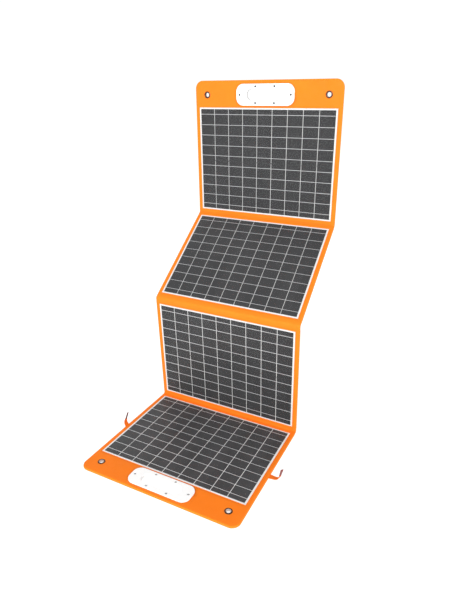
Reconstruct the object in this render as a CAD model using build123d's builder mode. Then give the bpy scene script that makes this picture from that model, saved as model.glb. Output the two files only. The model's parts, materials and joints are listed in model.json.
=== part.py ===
"""Four-leaf folding solar kit that closes like a suitcase, standing open.

Leaf 1 lies on the ground, leaf 2 stands on it, leaf 3 leans back and leaf 4 stands on that.
Folds 1-2 and 3-4 are valleys (faces meet when closed), fold 2-3 is a mountain (backs meet).
The origin is on the ground under the middle of leaf 1's solar laminate; +Y points away from
the handle of leaf 1 and +Z points up. Lengths are millimetres and angles are degrees.

Every leaf is modelled on its own plane: x runs along the folds, y runs up the leaf from leaf 1
towards leaf 4, z = 0 is the outside of its back skin and +z points out of its solar face.
"""

import os
from math import cos, radians, sin

from build123d import *

# --- Leaves ---------------------------------------------------------------------------------
WIDTH = 466  # of a leaf, along the folds
LAMINATE = (440, 322)  # of a solar laminate, with its white border
BORDER = 4  # white border round the cells
LAMINATE_EDGE = LAMINATE[1] / 2
VALLEY_REACH = LAMINATE_EDGE + 12  # from the laminate's middle to a valley axis
MOUNTAIN_REACH = LAMINATE_EDGE + 16  # and to the mountain axis
SKIN_REACH = LAMINATE_EDGE + 6  # where the skins of a leaf meet a fold web
FLAP_REACH = LAMINATE_EDGE + 78  # and to the outer edge of a handle flap
FLAP_CORNER = 24
HANDLE_REACH = FLAP_REACH - 41  # middle of the handle plate and of the eyelets
LEANS = {1: 0, 2: 95, 3: 38, 4: 93.5}  # leaf direction above +Y, standing open
REACHES = {  # from a laminate's middle: to the low end and the high end of its skins
    1: (FLAP_REACH, SKIN_REACH),
    2: (SKIN_REACH, SKIN_REACH),
    3: (SKIN_REACH, SKIN_REACH),
    4: (SKIN_REACH, FLAP_REACH),
}
FLAP_SIDE = {1: -1, 4: 1}  # which end of these two leaves carries a flap

# --- Layers of a leaf, measured from the outside of its back ---------------------------------
BACK_SKIN = 0.8
BOARD_TOP = 5.2
SKIN_TOP = 6.2
BACKSHEET_TOP = 6.2
CELL_TOP = 6.45
RIBBON_TOP = 6.6
SHEET_TOP = 6.9
WALL = 1.0  # front skin where it turns down over the board's edge
WINDOW_GAP = 0.2  # between the front skin and the laminate that it frames
BOARD_GAP = 0.5  # between the board's sides and the turned-down skin
BOARD_END_GAP = 1.0  # between the board's end and the fold web
THROUGH = 1.0  # how far the hollow of a front skin runs past its ends

# --- Folds ----------------------------------------------------------------------------------
VALLEY_AXIS = 9.0  # height of a valley axis over the backs of its leaves
MOUNTAIN_AXIS = 3.0  # depth of the mountain axis behind the backs of its leaves
CREASE = 1.2  # from a fold axis to the crease of its web
JUMPER = (14, 1.0)  # flat lead that crosses a fold
JUMPER_X = 150
JUMPER_RADIUS = 6.1  # of its middle, round the fold axis

# --- Cells ----------------------------------------------------------------------------------
COLUMNS, ROWS = 9, 2
COLUMN_PITCH = (LAMINATE[0] - 2 * BORDER) / COLUMNS
ROW_PITCH = (LAMINATE[1] - 2 * BORDER) / ROWS
CELL_GAPS = (1.6, 0.6)
CELL = (COLUMN_PITCH - CELL_GAPS[0], ROW_PITCH - CELL_GAPS[1])
RIBBONS = 10
RIBBON_PITCH = (LAMINATE[1] - 2 * BORDER) / RIBBONS
RIBBON = (LAMINATE[0] - 2 * BORDER, 1.2)

# --- Handles and eyelets --------------------------------------------------------------------
PLATE = (183, 61)
PLATE_CORNER = 22
PLATE_TOP = SKIN_TOP + 3.2
PLATE_ROUND = 1.4  # round its top edges
BACKING_TOP = 3.0
BACKING_CLEARANCE = 0.2  # round the backing plate in its seat
HAND_SLOT = (115, 32)
HAND_SLOT_CORNER = 15
SCREW_SPOTS = [(-81, 0), (-30, 23), (30, 23), (81, 0), (30, -23), (-30, -23)]
SCREW_RADIUS = 1.5
SCREW_HEAD = (2.9, 1.3)  # radius and height
COUNTERBORE = (3.3, 1.6)  # radius and depth
SCREW_LOW = 0.6
SCREW_CLEARANCE = 0.2
EYELET_X = 192
EYELET_BORE = 6.35
EYELET_BARREL = 7.0
EYELET_FLANGE = 10.4
EYELET_TOP = SKIN_TOP + 1.1
EYELET_LOW = 0.1
EYELET_MOUTH = SKIN_TOP + 0.6  # where the bore meets the rolled flange
EYELET_PEAK = 0.35  # share of the flange's width from the bore to its highest ring
EYELET_HOLE = 7.15  # in the layers that the barrel goes through
WASHER_BORE = 7.05
WASHER_RADIUS = 10.2

# --- Closure tabs ---------------------------------------------------------------------------
TAB_Y = {"left": -28, "right": -36}
TAB_WIDTH = 17
TAB_THICKNESS = 1.6
TAB_ROOT = (WIDTH / 2 + 1.0, 2.6)  # half-way up the edge of leaf 1
TAB_STRAIGHT = {"left": 6, "right": 14}  # before the bend
TAB_BEND = 14  # radius
TAB_TURN = {"left": 53, "right": 78}
TAB_RUN = 2  # straight, after the bend
TAB_END = (9, 1.2, 22)  # width, thickness and length of the hook end
TAB_PITCH = {"left": 49, "right": 0}  # how far each tab is swung up

# --- Stand behind leaf 2 --------------------------------------------------------------------
STAND_SPREAD = 11  # angle between leaf 2 and the stand
STAND_PIVOT = 150  # up leaf 2 from its middle
STAND_WIDTH = 220
STAND_START = 4  # sleeve's top, below the pivot
STAND_BOARD = 3.0
STAND_SLEEVE = 4.0
STAND_HEM = 3  # of the sleeve round the board
STAND_CORNER = 8
FOOT_RADIUS = 4
FOOT_ROUND = 3.95
FOOT_HEIGHT = 14
PATCH = (200, 16, 0.8)  # sewn to leaf 2 above the pivot
STAY_DROP = 200  # from the pivot to the webbing stays
STAY = (25, 1.2)  # width and thickness
STAY_X = 80

# --- Controller and its pocket behind leaf 4 --------------------------------------------------
POCKET = (220, 150, 25)
POCKET_LOW = -95  # y of its lower edge
POCKET_WALL = 1.0
POCKET_CORNER = 12
BOX = (120, 76, 20)
BOX_MIDDLE = (-40, -52)
BOX_BACK = -2  # z of the side that lies against leaf 4
BOX_WALL = 2
BOX_CORNER = 6
LID = 2.5
LID_ROUND = 1.2
BOARD = (108, 62, 1.6)
BOARD_POST = (3, 4)  # radius and height
POST_SPREAD = (94, 48)
USB_SHELL = (13.4, 5.8)
USB_WALL = 0.5
USB_X = (-76, -52)
DC_X = -8
DC_RADIUS = 5.5
DC_BORE = 2.75


def up_leaf(lean):
    """Unit vector up a leaf that leans so."""
    return Vector(0, cos(radians(lean)), sin(radians(lean)))


def out_of_face(lean):
    """Unit vector out of the solar face of a leaf that leans so."""
    return up_leaf(lean + 90)


def plane_at(origin, lean):
    """Plane with x along the folds and y in the direction of lean."""
    return Plane(origin=origin, x_dir=(1, 0, 0), z_dir=out_of_face(lean))


# The chain of folds: each leaf's plane follows from the axis below it.
AXIS_12 = Vector(0, VALLEY_REACH, VALLEY_AXIS)
MIDDLE_2 = AXIS_12 - out_of_face(LEANS[2]) * VALLEY_AXIS + up_leaf(LEANS[2]) * VALLEY_REACH
AXIS_23 = MIDDLE_2 + up_leaf(LEANS[2]) * MOUNTAIN_REACH - out_of_face(LEANS[2]) * MOUNTAIN_AXIS
MIDDLE_3 = AXIS_23 + out_of_face(LEANS[3]) * MOUNTAIN_AXIS + up_leaf(LEANS[3]) * MOUNTAIN_REACH
AXIS_34 = MIDDLE_3 + up_leaf(LEANS[3]) * VALLEY_REACH + out_of_face(LEANS[3]) * VALLEY_AXIS
MIDDLE_4 = AXIS_34 - out_of_face(LEANS[4]) * VALLEY_AXIS + up_leaf(LEANS[4]) * VALLEY_REACH
LEAF = {
    1: plane_at((0, 0, 0), LEANS[1]),
    2: plane_at(MIDDLE_2, LEANS[2]),
    3: plane_at(MIDDLE_3, LEANS[3]),
    4: plane_at(MIDDLE_4, LEANS[4]),
}

# The stand hangs from a line in the middle of the gap that the mountain fold leaves.
PIVOT = (
    MIDDLE_2 + up_leaf(LEANS[2]) * STAND_PIVOT - out_of_face(LEANS[2]) * MOUNTAIN_AXIS
)
STAND_LEAN = LEANS[2] + 180 + STAND_SPREAD
FOOT_REACH = (PIVOT.Z - FOOT_RADIUS) / -sin(radians(STAND_LEAN))
STAND = plane_at(PIVOT, STAND_LEAN)


def leaf_outline(number, inset, end_inset=0):
    """Outline of a leaf, with round corners on its handle flap."""
    low, high = REACHES[number]
    low -= inset if low == FLAP_REACH else end_inset
    high -= inset if high == FLAP_REACH else end_inset
    with BuildSketch() as outline:
        with Locations((0, (high - low) / 2)):
            Rectangle(WIDTH - 2 * inset, high + low)
        if number in FLAP_SIDE:
            corners = outline.vertices().sort_by(Axis.Y)
            corners = corners[:2] if FLAP_SIDE[number] < 0 else corners[-2:]
            fillet(corners, FLAP_CORNER - inset)
    return outline.sketch


def flap_cut(number, eyelet_radius, screw_radius):
    """Hand slot, eyelet holes and screw holes of a handle flap, or none on a plain leaf."""
    with BuildSketch() as cut:
        if number in FLAP_SIDE:
            middle = FLAP_SIDE[number] * HANDLE_REACH
            with Locations((0, middle)):
                RectangleRounded(*HAND_SLOT, HAND_SLOT_CORNER)
                with Locations(*SCREW_SPOTS):
                    Circle(screw_radius)
            with Locations((-EYELET_X, middle), (EYELET_X, middle)):
                Circle(eyelet_radius)
    return cut.sketch


def cut_flap(number, low, high, eyelet_radius, screw_radius):
    """Cuts the holes of a handle flap between two heights of the part in progress."""
    if number in FLAP_SIDE:
        with BuildSketch(LEAF[number].offset(low)) as cut:
            add(flap_cut(number, eyelet_radius, screw_radius))
        extrude(cut.sketch, amount=high - low, mode=Mode.SUBTRACT)


def cut_backing(number, low, high):
    """Cuts the seat of the backing plate between two heights of the part in progress."""
    if number in FLAP_SIDE:
        with BuildSketch(LEAF[number].offset(low)) as seat:
            with Locations((0, FLAP_SIDE[number] * HANDLE_REACH)):
                RectangleRounded(
                    PLATE[0] + 2 * BACKING_CLEARANCE,
                    PLATE[1] + 2 * BACKING_CLEARANCE,
                    PLATE_CORNER + BACKING_CLEARANCE,
                )
        extrude(seat.sketch, amount=high - low, mode=Mode.SUBTRACT)


def export(part, name):
    """Labels a finished piece and writes it."""
    part.label = name
    export_step(part, f"parts/{name}.step")


# --- The leaves -----------------------------------------------------------------------------


def make_back_skin(number):
    """Coated cloth on the outside, with flush seats for the backing plate and washers."""
    with BuildPart() as back_skin:
        with BuildSketch(LEAF[number]):
            add(leaf_outline(number, 0))
        extrude(amount=BACK_SKIN)
        cut_backing(number, 0, BACK_SKIN)
        cut_flap(number, 0, BACK_SKIN, EYELET_FLANGE, SCREW_RADIUS)
    export(back_skin.part, f"leaf_{number}_back_skin")


def make_board(number):
    """Stiffening board, which the handle plates clamp."""
    with BuildPart() as board:
        with BuildSketch(LEAF[number].offset(BACK_SKIN)):
            add(leaf_outline(number, WALL + BOARD_GAP, BOARD_END_GAP))
        extrude(amount=BOARD_TOP - BACK_SKIN)
        cut_backing(number, BACK_SKIN, BACKING_TOP)
        cut_flap(number, BACK_SKIN, BOARD_TOP, EYELET_HOLE, SCREW_RADIUS + SCREW_CLEARANCE)
    export(board.part, f"leaf_{number}_board")


def make_front_skin(number):
    """Orange cloth frame round the laminate, turned down over the board's sides."""
    with BuildPart() as front_skin:
        with BuildSketch(LEAF[number].offset(BACK_SKIN)):
            add(leaf_outline(number, 0))
        extrude(amount=SKIN_TOP - BACK_SKIN)
        with BuildSketch(LEAF[number].offset(BACK_SKIN)):
            add(leaf_outline(number, WALL, -THROUGH))
        extrude(amount=BOARD_TOP - BACK_SKIN, mode=Mode.SUBTRACT)
        with BuildSketch(LEAF[number].offset(BOARD_TOP)):
            Rectangle(LAMINATE[0] + 2 * WINDOW_GAP, LAMINATE[1] + 2 * WINDOW_GAP)
        extrude(amount=SKIN_TOP - BOARD_TOP, mode=Mode.SUBTRACT)
        cut_flap(number, BOARD_TOP, SKIN_TOP, EYELET_HOLE, SCREW_RADIUS + SCREW_CLEARANCE)
    export(front_skin.part, f"leaf_{number}_front_skin")


def make_backsheet(number):
    """White backsheet, whose border shows round the cells."""
    with BuildPart() as backsheet:
        with BuildSketch(LEAF[number].offset(BOARD_TOP)):
            Rectangle(*LAMINATE)
        extrude(amount=BACKSHEET_TOP - BOARD_TOP)
    export(backsheet.part, f"leaf_{number}_backsheet")


def make_cells(number):
    """Silicon cells, each its own solid."""
    with BuildPart() as cells:
        with BuildSketch(LEAF[number].offset(BACKSHEET_TOP)):
            with GridLocations(COLUMN_PITCH, ROW_PITCH, COLUMNS, ROWS):
                Rectangle(*CELL)
        extrude(amount=CELL_TOP - BACKSHEET_TOP)
    export(cells.part, f"leaf_{number}_cells")


def make_ribbons(number):
    """Tinned ribbons that run across every column of cells."""
    with BuildPart() as ribbons:
        with BuildSketch(LEAF[number].offset(CELL_TOP)):
            with GridLocations(0, RIBBON_PITCH, 1, RIBBONS):
                Rectangle(*RIBBON)
        extrude(amount=RIBBON_TOP - CELL_TOP)
    export(ribbons.part, f"leaf_{number}_ribbons")


def make_front_sheet(number):
    """Clear sheet over the cells."""
    with BuildPart() as front_sheet:
        with BuildSketch(LEAF[number].offset(RIBBON_TOP)):
            Rectangle(*LAMINATE)
        extrude(amount=SHEET_TOP - RIBBON_TOP)
    export(front_sheet.part, f"leaf_{number}_front_sheet")


# --- The fold webs --------------------------------------------------------------------------


def web_profile(axis, below, above, side, outer, inner, reach):
    """Profile of a fold web: round on the outside of the fold, creased on the inside.

    side is -1 where the axis is in front of the leaves and +1 where it is behind them.
    outer and inner are the distances from the axis to the two outsides of a leaf.
    """
    out_below, out_above = out_of_face(below) * side, out_of_face(above) * side
    crease = axis + (out_below + out_above).normalized() * CREASE
    middle = axis + (out_below + out_above).normalized() * outer
    points = [
        axis + out_below * inner - up_leaf(below) * reach,
        axis + out_below * outer - up_leaf(below) * reach,
        axis + out_below * outer,
        middle,
        axis + out_above * outer,
        axis + out_above * outer + up_leaf(above) * reach,
        axis + out_above * inner + up_leaf(above) * reach,
        crease,
    ]
    return [(point.Y, point.Z) for point in points]


def make_fold(name, axis, below, above, side, outer, inner, reach):
    """One fold web with the channels for its two jumpers, and the jumpers."""
    points = web_profile(axis, below, above, side, outer, inner, reach)
    ends = []
    for radius in (JUMPER_RADIUS - JUMPER[1] / 2, JUMPER_RADIUS + JUMPER[1] / 2):
        ends.append(web_profile(axis, below, above, side, radius, radius, reach))
    with BuildSketch(Plane.YZ) as jumper_face:
        with BuildLine():
            Line(ends[0][0], ends[0][2])
            ThreePointArc(ends[0][2], ends[0][3], ends[0][4])
            Line(ends[0][4], ends[0][5])
            Line(ends[0][5], ends[1][5])
            Line(ends[1][5], ends[1][4])
            ThreePointArc(ends[1][4], ends[1][3], ends[1][2])
            Line(ends[1][2], ends[1][0])
            Line(ends[1][0], ends[0][0])
        make_face()
    with BuildPart() as jumpers:
        for x in (-JUMPER_X, JUMPER_X):
            with BuildSketch(Plane.YZ.offset(x - JUMPER[0] / 2)):
                add(jumper_face.sketch_local)
            extrude(amount=JUMPER[0])
    with BuildPart() as web:
        with BuildSketch(Plane.YZ.offset(-WIDTH / 2)):
            with BuildLine():
                Polyline(points[0], points[1], points[2])
                ThreePointArc(points[2], points[3], points[4])
                Polyline(points[4], points[5], points[6], points[7], points[0])
            make_face()
        extrude(amount=WIDTH)
        add(jumpers.part, mode=Mode.SUBTRACT)
    export(web.part, f"fold_web_{name}")
    export(jumpers.part, f"jumper_leads_{name}")


# --- Handles and eyelets --------------------------------------------------------------------


def make_handle_plate(number, place):
    """Moulded plate on the face of a flap, with a hand slot and sunk screws."""
    middle = FLAP_SIDE[number] * HANDLE_REACH
    with BuildPart() as handle_plate:
        with BuildSketch(LEAF[number].offset(SKIN_TOP)):
            with Locations((0, middle)):
                RectangleRounded(*PLATE, PLATE_CORNER)
                RectangleRounded(*HAND_SLOT, HAND_SLOT_CORNER, mode=Mode.SUBTRACT)
        extrude(amount=PLATE_TOP - SKIN_TOP)
        top = handle_plate.faces().sort_by(Axis(LEAF[number].origin, LEAF[number].z_dir))[-1]
        fillet(top.edges(), PLATE_ROUND)
        with Locations(LEAF[number].offset(PLATE_TOP)):
            with Locations(*[(x, middle + y) for x, y in SCREW_SPOTS]):
                CounterBoreHole(SCREW_RADIUS + SCREW_CLEARANCE, *COUNTERBORE)
    export(handle_plate.part, f"{place}_handle_plate")


def make_backing_plate(number, place):
    """Plate let into the back of a flap, flush with the skin, which takes the screws."""
    with BuildPart() as backing_plate:
        with BuildSketch(LEAF[number]):
            with Locations((0, FLAP_SIDE[number] * HANDLE_REACH)):
                RectangleRounded(*PLATE, PLATE_CORNER)
                RectangleRounded(*HAND_SLOT, HAND_SLOT_CORNER, mode=Mode.SUBTRACT)
        extrude(amount=BACKING_TOP)
        with BuildSketch(LEAF[number].offset(SCREW_LOW)):
            with Locations((0, FLAP_SIDE[number] * HANDLE_REACH)):
                with Locations(*SCREW_SPOTS):
                    Circle(SCREW_RADIUS)
        extrude(amount=BACKING_TOP - SCREW_LOW, mode=Mode.SUBTRACT)
    export(backing_plate.part, f"{place}_backing_plate")


def make_screws(number, place):
    """Six screws from the handle plate into the backing plate."""
    head_low = PLATE_TOP - COUNTERBORE[1]
    with BuildPart() as screws:
        for radius, low, high in (
            (SCREW_RADIUS, SCREW_LOW, head_low),
            (SCREW_HEAD[0], head_low, head_low + SCREW_HEAD[1]),
        ):
            with BuildSketch(LEAF[number].offset(low)):
                with Locations((0, FLAP_SIDE[number] * HANDLE_REACH)):
                    with Locations(*SCREW_SPOTS):
                        Circle(radius)
            extrude(amount=high - low)
    export(screws.part, f"{place}_handle_screws")


def make_eyelets(number, place):
    """Two metal eyelets with a rolled flange on the face, and their washers on the back."""
    lip = EYELET_FLANGE - EYELET_BORE
    with BuildSketch(Plane.XZ) as eyelet_face:
        with BuildLine():
            Polyline(
                (EYELET_FLANGE, SKIN_TOP),
                (EYELET_BARREL, SKIN_TOP),
                (EYELET_BARREL, EYELET_LOW),
                (EYELET_BORE, EYELET_LOW),
                (EYELET_BORE, EYELET_MOUTH),
            )
            ThreePointArc(
                (EYELET_BORE, EYELET_MOUTH),
                (EYELET_BORE + lip * EYELET_PEAK, EYELET_TOP),
                (EYELET_FLANGE, SKIN_TOP),
            )
        make_face()
    with BuildPart() as eyelet:
        with BuildSketch(Plane.XZ):
            add(eyelet_face.sketch_local)
        revolve(axis=Axis.Z)
    with BuildPart() as washer:
        Cylinder(WASHER_RADIUS, BACK_SKIN, align=(Align.CENTER, Align.CENTER, Align.MIN))
        Cylinder(WASHER_BORE, 2 * BACK_SKIN, mode=Mode.SUBTRACT)
    for piece, name in ((eyelet, "eyelets"), (washer, "eyelet_washers")):
        with BuildPart() as pair:
            with Locations(LEAF[number]):
                with Locations(
                    (-EYELET_X, FLAP_SIDE[number] * HANDLE_REACH, 0),
                    (EYELET_X, FLAP_SIDE[number] * HANDLE_REACH, 0),
                ):
                    add(piece.part)
        export(pair.part, f"{place}_{name}")


# --- Closure tabs ---------------------------------------------------------------------------


def tab_path(side, offset, length):
    """Middle line of a tab, moved by offset: its root run, its bend and its end run."""
    pitch = TAB_PITCH[side]
    turn = radians(pitch)
    run = Vector(cos(turn), sin(turn))
    across = Vector(-run.Y, run.X)
    root = Vector(*TAB_ROOT) + across * offset
    bend = Vector(*TAB_ROOT) + across * offset + run * TAB_STRAIGHT[side]
    middle = Vector(*TAB_ROOT) + run * TAB_STRAIGHT[side] + across * TAB_BEND
    half = radians(pitch + TAB_TURN[side] / 2)
    full = radians(pitch + TAB_TURN[side])
    radius = TAB_BEND - offset
    bend_half = middle + Vector(sin(half), -cos(half)) * radius
    bend_end = middle + Vector(sin(full), -cos(full)) * radius
    end = bend_end + Vector(cos(full), sin(full)) * length
    return root, bend, bend_half, bend_end, end


def make_tab(side):
    """Webbing tab sewn into the side seam of leaf 1, and its thin hook end."""
    half = TAB_THICKNESS / 2
    low = tab_path(side, -half, TAB_RUN)
    high = tab_path(side, half, TAB_RUN)
    with BuildPart() as strap:
        with BuildSketch(Plane.XZ.offset(-TAB_Y[side])):
            with BuildLine():
                Line(low[0], low[1])
                ThreePointArc(low[1], low[2], low[3])
                Polyline(low[3], low[4], high[4], high[3])
                ThreePointArc(high[3], high[2], high[1])
                Polyline(high[1], high[0], low[0])
            make_face()
        extrude(amount=TAB_WIDTH / 2, both=True)
        if side == "left":
            mirror(about=Plane.YZ, mode=Mode.REPLACE)
    thin = TAB_END[1] / 2
    corners = [
        tab_path(side, -thin, TAB_RUN)[4],
        tab_path(side, -thin, TAB_RUN + TAB_END[2])[4],
        tab_path(side, thin, TAB_RUN + TAB_END[2])[4],
        tab_path(side, thin, TAB_RUN)[4],
    ]
    with BuildPart() as hook_end:
        with BuildSketch(Plane.XZ.offset(-TAB_Y[side])):
            with BuildLine():
                Polyline(*corners, close=True)
            make_face()
        extrude(amount=TAB_END[0] / 2, both=True)
        if side == "left":
            mirror(about=Plane.YZ, mode=Mode.REPLACE)
    export(strap.part, f"{side}_tab_strap")
    export(hook_end.part, f"{side}_tab_end")


# --- Stand ----------------------------------------------------------------------------------


def make_stand():
    """Stiffened prop: a board in a sewn sleeve, a rubber foot, its sewn hinge and its stays."""
    sleeve_end = FOOT_REACH + FOOT_RADIUS - FOOT_HEIGHT
    length = sleeve_end - STAND_START
    board_length = length - STAND_HEM
    with BuildPart() as stand_board:
        with BuildSketch(STAND.offset(-STAND_BOARD / 2)):
            with Locations((0, sleeve_end - board_length / 2)):
                Rectangle(STAND_WIDTH - 2 * STAND_HEM, board_length)
        extrude(amount=STAND_BOARD)
    with BuildPart() as stand_sleeve:
        with BuildSketch(STAND.offset(-STAND_SLEEVE / 2)) as sleeve_outline:
            with Locations((0, sleeve_end - length / 2)):
                Rectangle(STAND_WIDTH, length)
            fillet(sleeve_outline.vertices().sort_by(Axis.Y)[:2], STAND_CORNER)
        extrude(amount=STAND_SLEEVE)
        add(stand_board.part, mode=Mode.SUBTRACT)
    with BuildPart() as stand_foot:
        with BuildSketch(STAND.offset(-FOOT_RADIUS)):
            with Locations((0, sleeve_end + FOOT_HEIGHT / 2)):
                Rectangle(STAND_WIDTH, FOOT_HEIGHT)
        extrude(amount=2 * FOOT_RADIUS)
        ends = stand_foot.edges().filter_by(Axis.X)
        fillet(ends.sort_by(Axis(PIVOT, STAND.y_dir))[-2:], FOOT_ROUND)
    with BuildPart() as hinge_patch:
        with BuildSketch(LEAF[2].offset(-PATCH[2])):
            with Locations((0, STAND_PIVOT + PATCH[1] / 2)):
                Rectangle(*PATCH[:2])
        extrude(amount=PATCH[2])
    patch_edge = MIDDLE_2 + up_leaf(LEANS[2]) * STAND_PIVOT
    patch_back = patch_edge - out_of_face(LEANS[2]) * PATCH[2]
    sleeve_top = PIVOT + STAND.y_dir * STAND_START
    face_side = sleeve_top - STAND.z_dir * STAND_SLEEVE / 2
    rear_side = sleeve_top + STAND.z_dir * STAND_SLEEVE / 2
    with BuildPart() as hinge_web:
        with BuildSketch(Plane.YZ.offset(-PATCH[0] / 2)):
            with BuildLine():
                Polyline(
                    *[(p.Y, p.Z) for p in (patch_edge, patch_back, rear_side, face_side)],
                    close=True,
                )
            make_face()
        extrude(amount=PATCH[0])
    on_leaf = patch_edge - up_leaf(LEANS[2]) * STAY_DROP
    on_stand = PIVOT + STAND.y_dir * STAY_DROP - STAND.z_dir * STAND_SLEEVE / 2
    half = STAY[1] / 2
    corners = [
        on_leaf - up_leaf(LEANS[2]) * half,
        on_leaf + up_leaf(LEANS[2]) * half,
        on_stand - STAND.y_dir * half,
        on_stand + STAND.y_dir * half,
    ]
    with BuildPart() as stays:
        for x in (-STAY_X, STAY_X):
            with BuildSketch(Plane.YZ.offset(x - STAY[0] / 2)):
                with BuildLine():
                    Polyline(*[(p.Y, p.Z) for p in corners], close=True)
                make_face()
            extrude(amount=STAY[0])
    export(stand_board.part, "stand_board")
    export(stand_sleeve.part, "stand_sleeve")
    export(stand_foot.part, "stand_foot")
    export(hinge_patch.part, "stand_hinge_patch")
    export(hinge_web.part, "stand_hinge_web")
    export(stays.part, "stand_stays")


# --- Controller -----------------------------------------------------------------------------


def make_pocket():
    """Cloth pocket on the back of leaf 4, open at the top."""
    middle = POCKET_LOW + POCKET[1] / 2
    with BuildPart() as pocket:
        with BuildSketch(LEAF[4].offset(-POCKET[2])) as outline:
            with Locations((0, middle)):
                Rectangle(*POCKET[:2])
            fillet(outline.vertices().sort_by(Axis.Y)[:2], POCKET_CORNER)
        extrude(amount=POCKET[2])
        with BuildSketch(LEAF[4].offset(-POCKET[2] + POCKET_WALL)) as inside:
            with Locations((0, middle + POCKET_WALL / 2)):
                Rectangle(POCKET[0] - 2 * POCKET_WALL, POCKET[1] - POCKET_WALL)
            fillet(inside.vertices().sort_by(Axis.Y)[:2], POCKET_CORNER - POCKET_WALL)
        extrude(amount=POCKET[2] - POCKET_WALL, mode=Mode.SUBTRACT)
    export(pocket.part, "controller_pocket")


def make_controller():
    """Charge controller: a tray on the leaf, a lid, a circuit board and three sockets."""
    rear = BOX_BACK - BOX[2]
    end = BOX_MIDDLE[1] + BOX[1] / 2
    tray_rear = rear + LID
    socket_z = (BOX_BACK + tray_rear) / 2
    usb_spots = [(x, socket_z) for x in USB_X]
    dc_spot = (DC_X, socket_z)
    end_plane = Plane(
        origin=LEAF[4].from_local_coords((0, end, 0)), x_dir=(1, 0, 0), z_dir=-LEAF[4].y_dir
    )
    with BuildPart() as tray:
        with BuildSketch(LEAF[4].offset(tray_rear)):
            with Locations(BOX_MIDDLE):
                RectangleRounded(*BOX[:2], BOX_CORNER)
        extrude(amount=BOX_BACK - tray_rear)
        with BuildSketch(LEAF[4].offset(tray_rear)):
            with Locations(BOX_MIDDLE):
                RectangleRounded(BOX[0] - 2 * BOX_WALL, BOX[1] - 2 * BOX_WALL, BOX_CORNER - BOX_WALL)
        extrude(amount=BOX_BACK - BOX_WALL - tray_rear, mode=Mode.SUBTRACT)
        with BuildSketch(LEAF[4].offset(BOX_BACK - BOX_WALL - BOARD_POST[1])):
            with Locations(BOX_MIDDLE):
                with GridLocations(*POST_SPREAD, 2, 2):
                    Circle(BOARD_POST[0])
        extrude(amount=BOARD_POST[1])
        with BuildSketch(end_plane):
            with Locations(*usb_spots):
                Rectangle(*USB_SHELL[:2])
            with Locations(dc_spot):
                Circle(DC_RADIUS)
        extrude(amount=BOX_WALL, mode=Mode.SUBTRACT)
    with BuildPart() as lid:
        with BuildSketch(LEAF[4].offset(rear)):
            with Locations(BOX_MIDDLE):
                RectangleRounded(*BOX[:2], BOX_CORNER)
        extrude(amount=LID)
        rim = lid.faces().sort_by(Axis(LEAF[4].origin, LEAF[4].z_dir))[0]
        fillet(rim.edges(), LID_ROUND)
    board_top = BOX_BACK - BOX_WALL - BOARD_POST[1]
    with BuildPart() as circuit_board:
        with BuildSketch(LEAF[4].offset(board_top - BOARD[2])):
            with Locations(BOX_MIDDLE):
                Rectangle(*BOARD[:2])
        extrude(amount=BOARD[2])
    with BuildPart() as sockets:
        with BuildSketch(end_plane):
            with Locations(*usb_spots):
                Rectangle(*USB_SHELL[:2])
                Rectangle(
                    USB_SHELL[0] - 2 * USB_WALL, USB_SHELL[1] - 2 * USB_WALL, mode=Mode.SUBTRACT
                )
            with Locations(dc_spot):
                Circle(DC_RADIUS)
                Circle(DC_BORE, mode=Mode.SUBTRACT)
        extrude(amount=BOX_WALL)
    export(tray.part, "controller_tray")
    export(lid.part, "controller_lid")
    export(circuit_board.part, "controller_circuit_board")
    export(sockets.part, "controller_sockets")


os.makedirs("parts", exist_ok=True)
for leaf in LEAF:
    make_back_skin(leaf)
    make_board(leaf)
    make_front_skin(leaf)
    make_backsheet(leaf)
    make_cells(leaf)
    make_ribbons(leaf)
    make_front_sheet(leaf)
VALLEY = (-1, VALLEY_AXIS, VALLEY_AXIS - SKIN_TOP, VALLEY_REACH - SKIN_REACH)
MOUNTAIN = (1, MOUNTAIN_AXIS + SKIN_TOP, MOUNTAIN_AXIS, MOUNTAIN_REACH - SKIN_REACH)
make_fold("12", AXIS_12, LEANS[1], LEANS[2], *VALLEY)
make_fold("23", AXIS_23, LEANS[2], LEANS[3], *MOUNTAIN)
make_fold("34", AXIS_34, LEANS[3], LEANS[4], *VALLEY)
for flap, label in ((1, "front"), (4, "top")):
    make_handle_plate(flap, label)
    make_backing_plate(flap, label)
    make_screws(flap, label)
    make_eyelets(flap, label)
for hand in TAB_PITCH:
    make_tab(hand)
make_stand()
make_pocket()
make_controller()
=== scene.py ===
"""Looks of the four-leaf folding solar kit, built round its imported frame.

A leaf's own coordinates are x along the folds, y up the leaf from its laminate's middle and z
out of its solar face from the back cloth. Shapes are worked out in millimetres in such
coordinates, and build() turns them into metres.
"""

import json
import math
from collections import namedtuple

import bpy
import numpy as np
from mathutils import Matrix, Vector, geometry, noise


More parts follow.
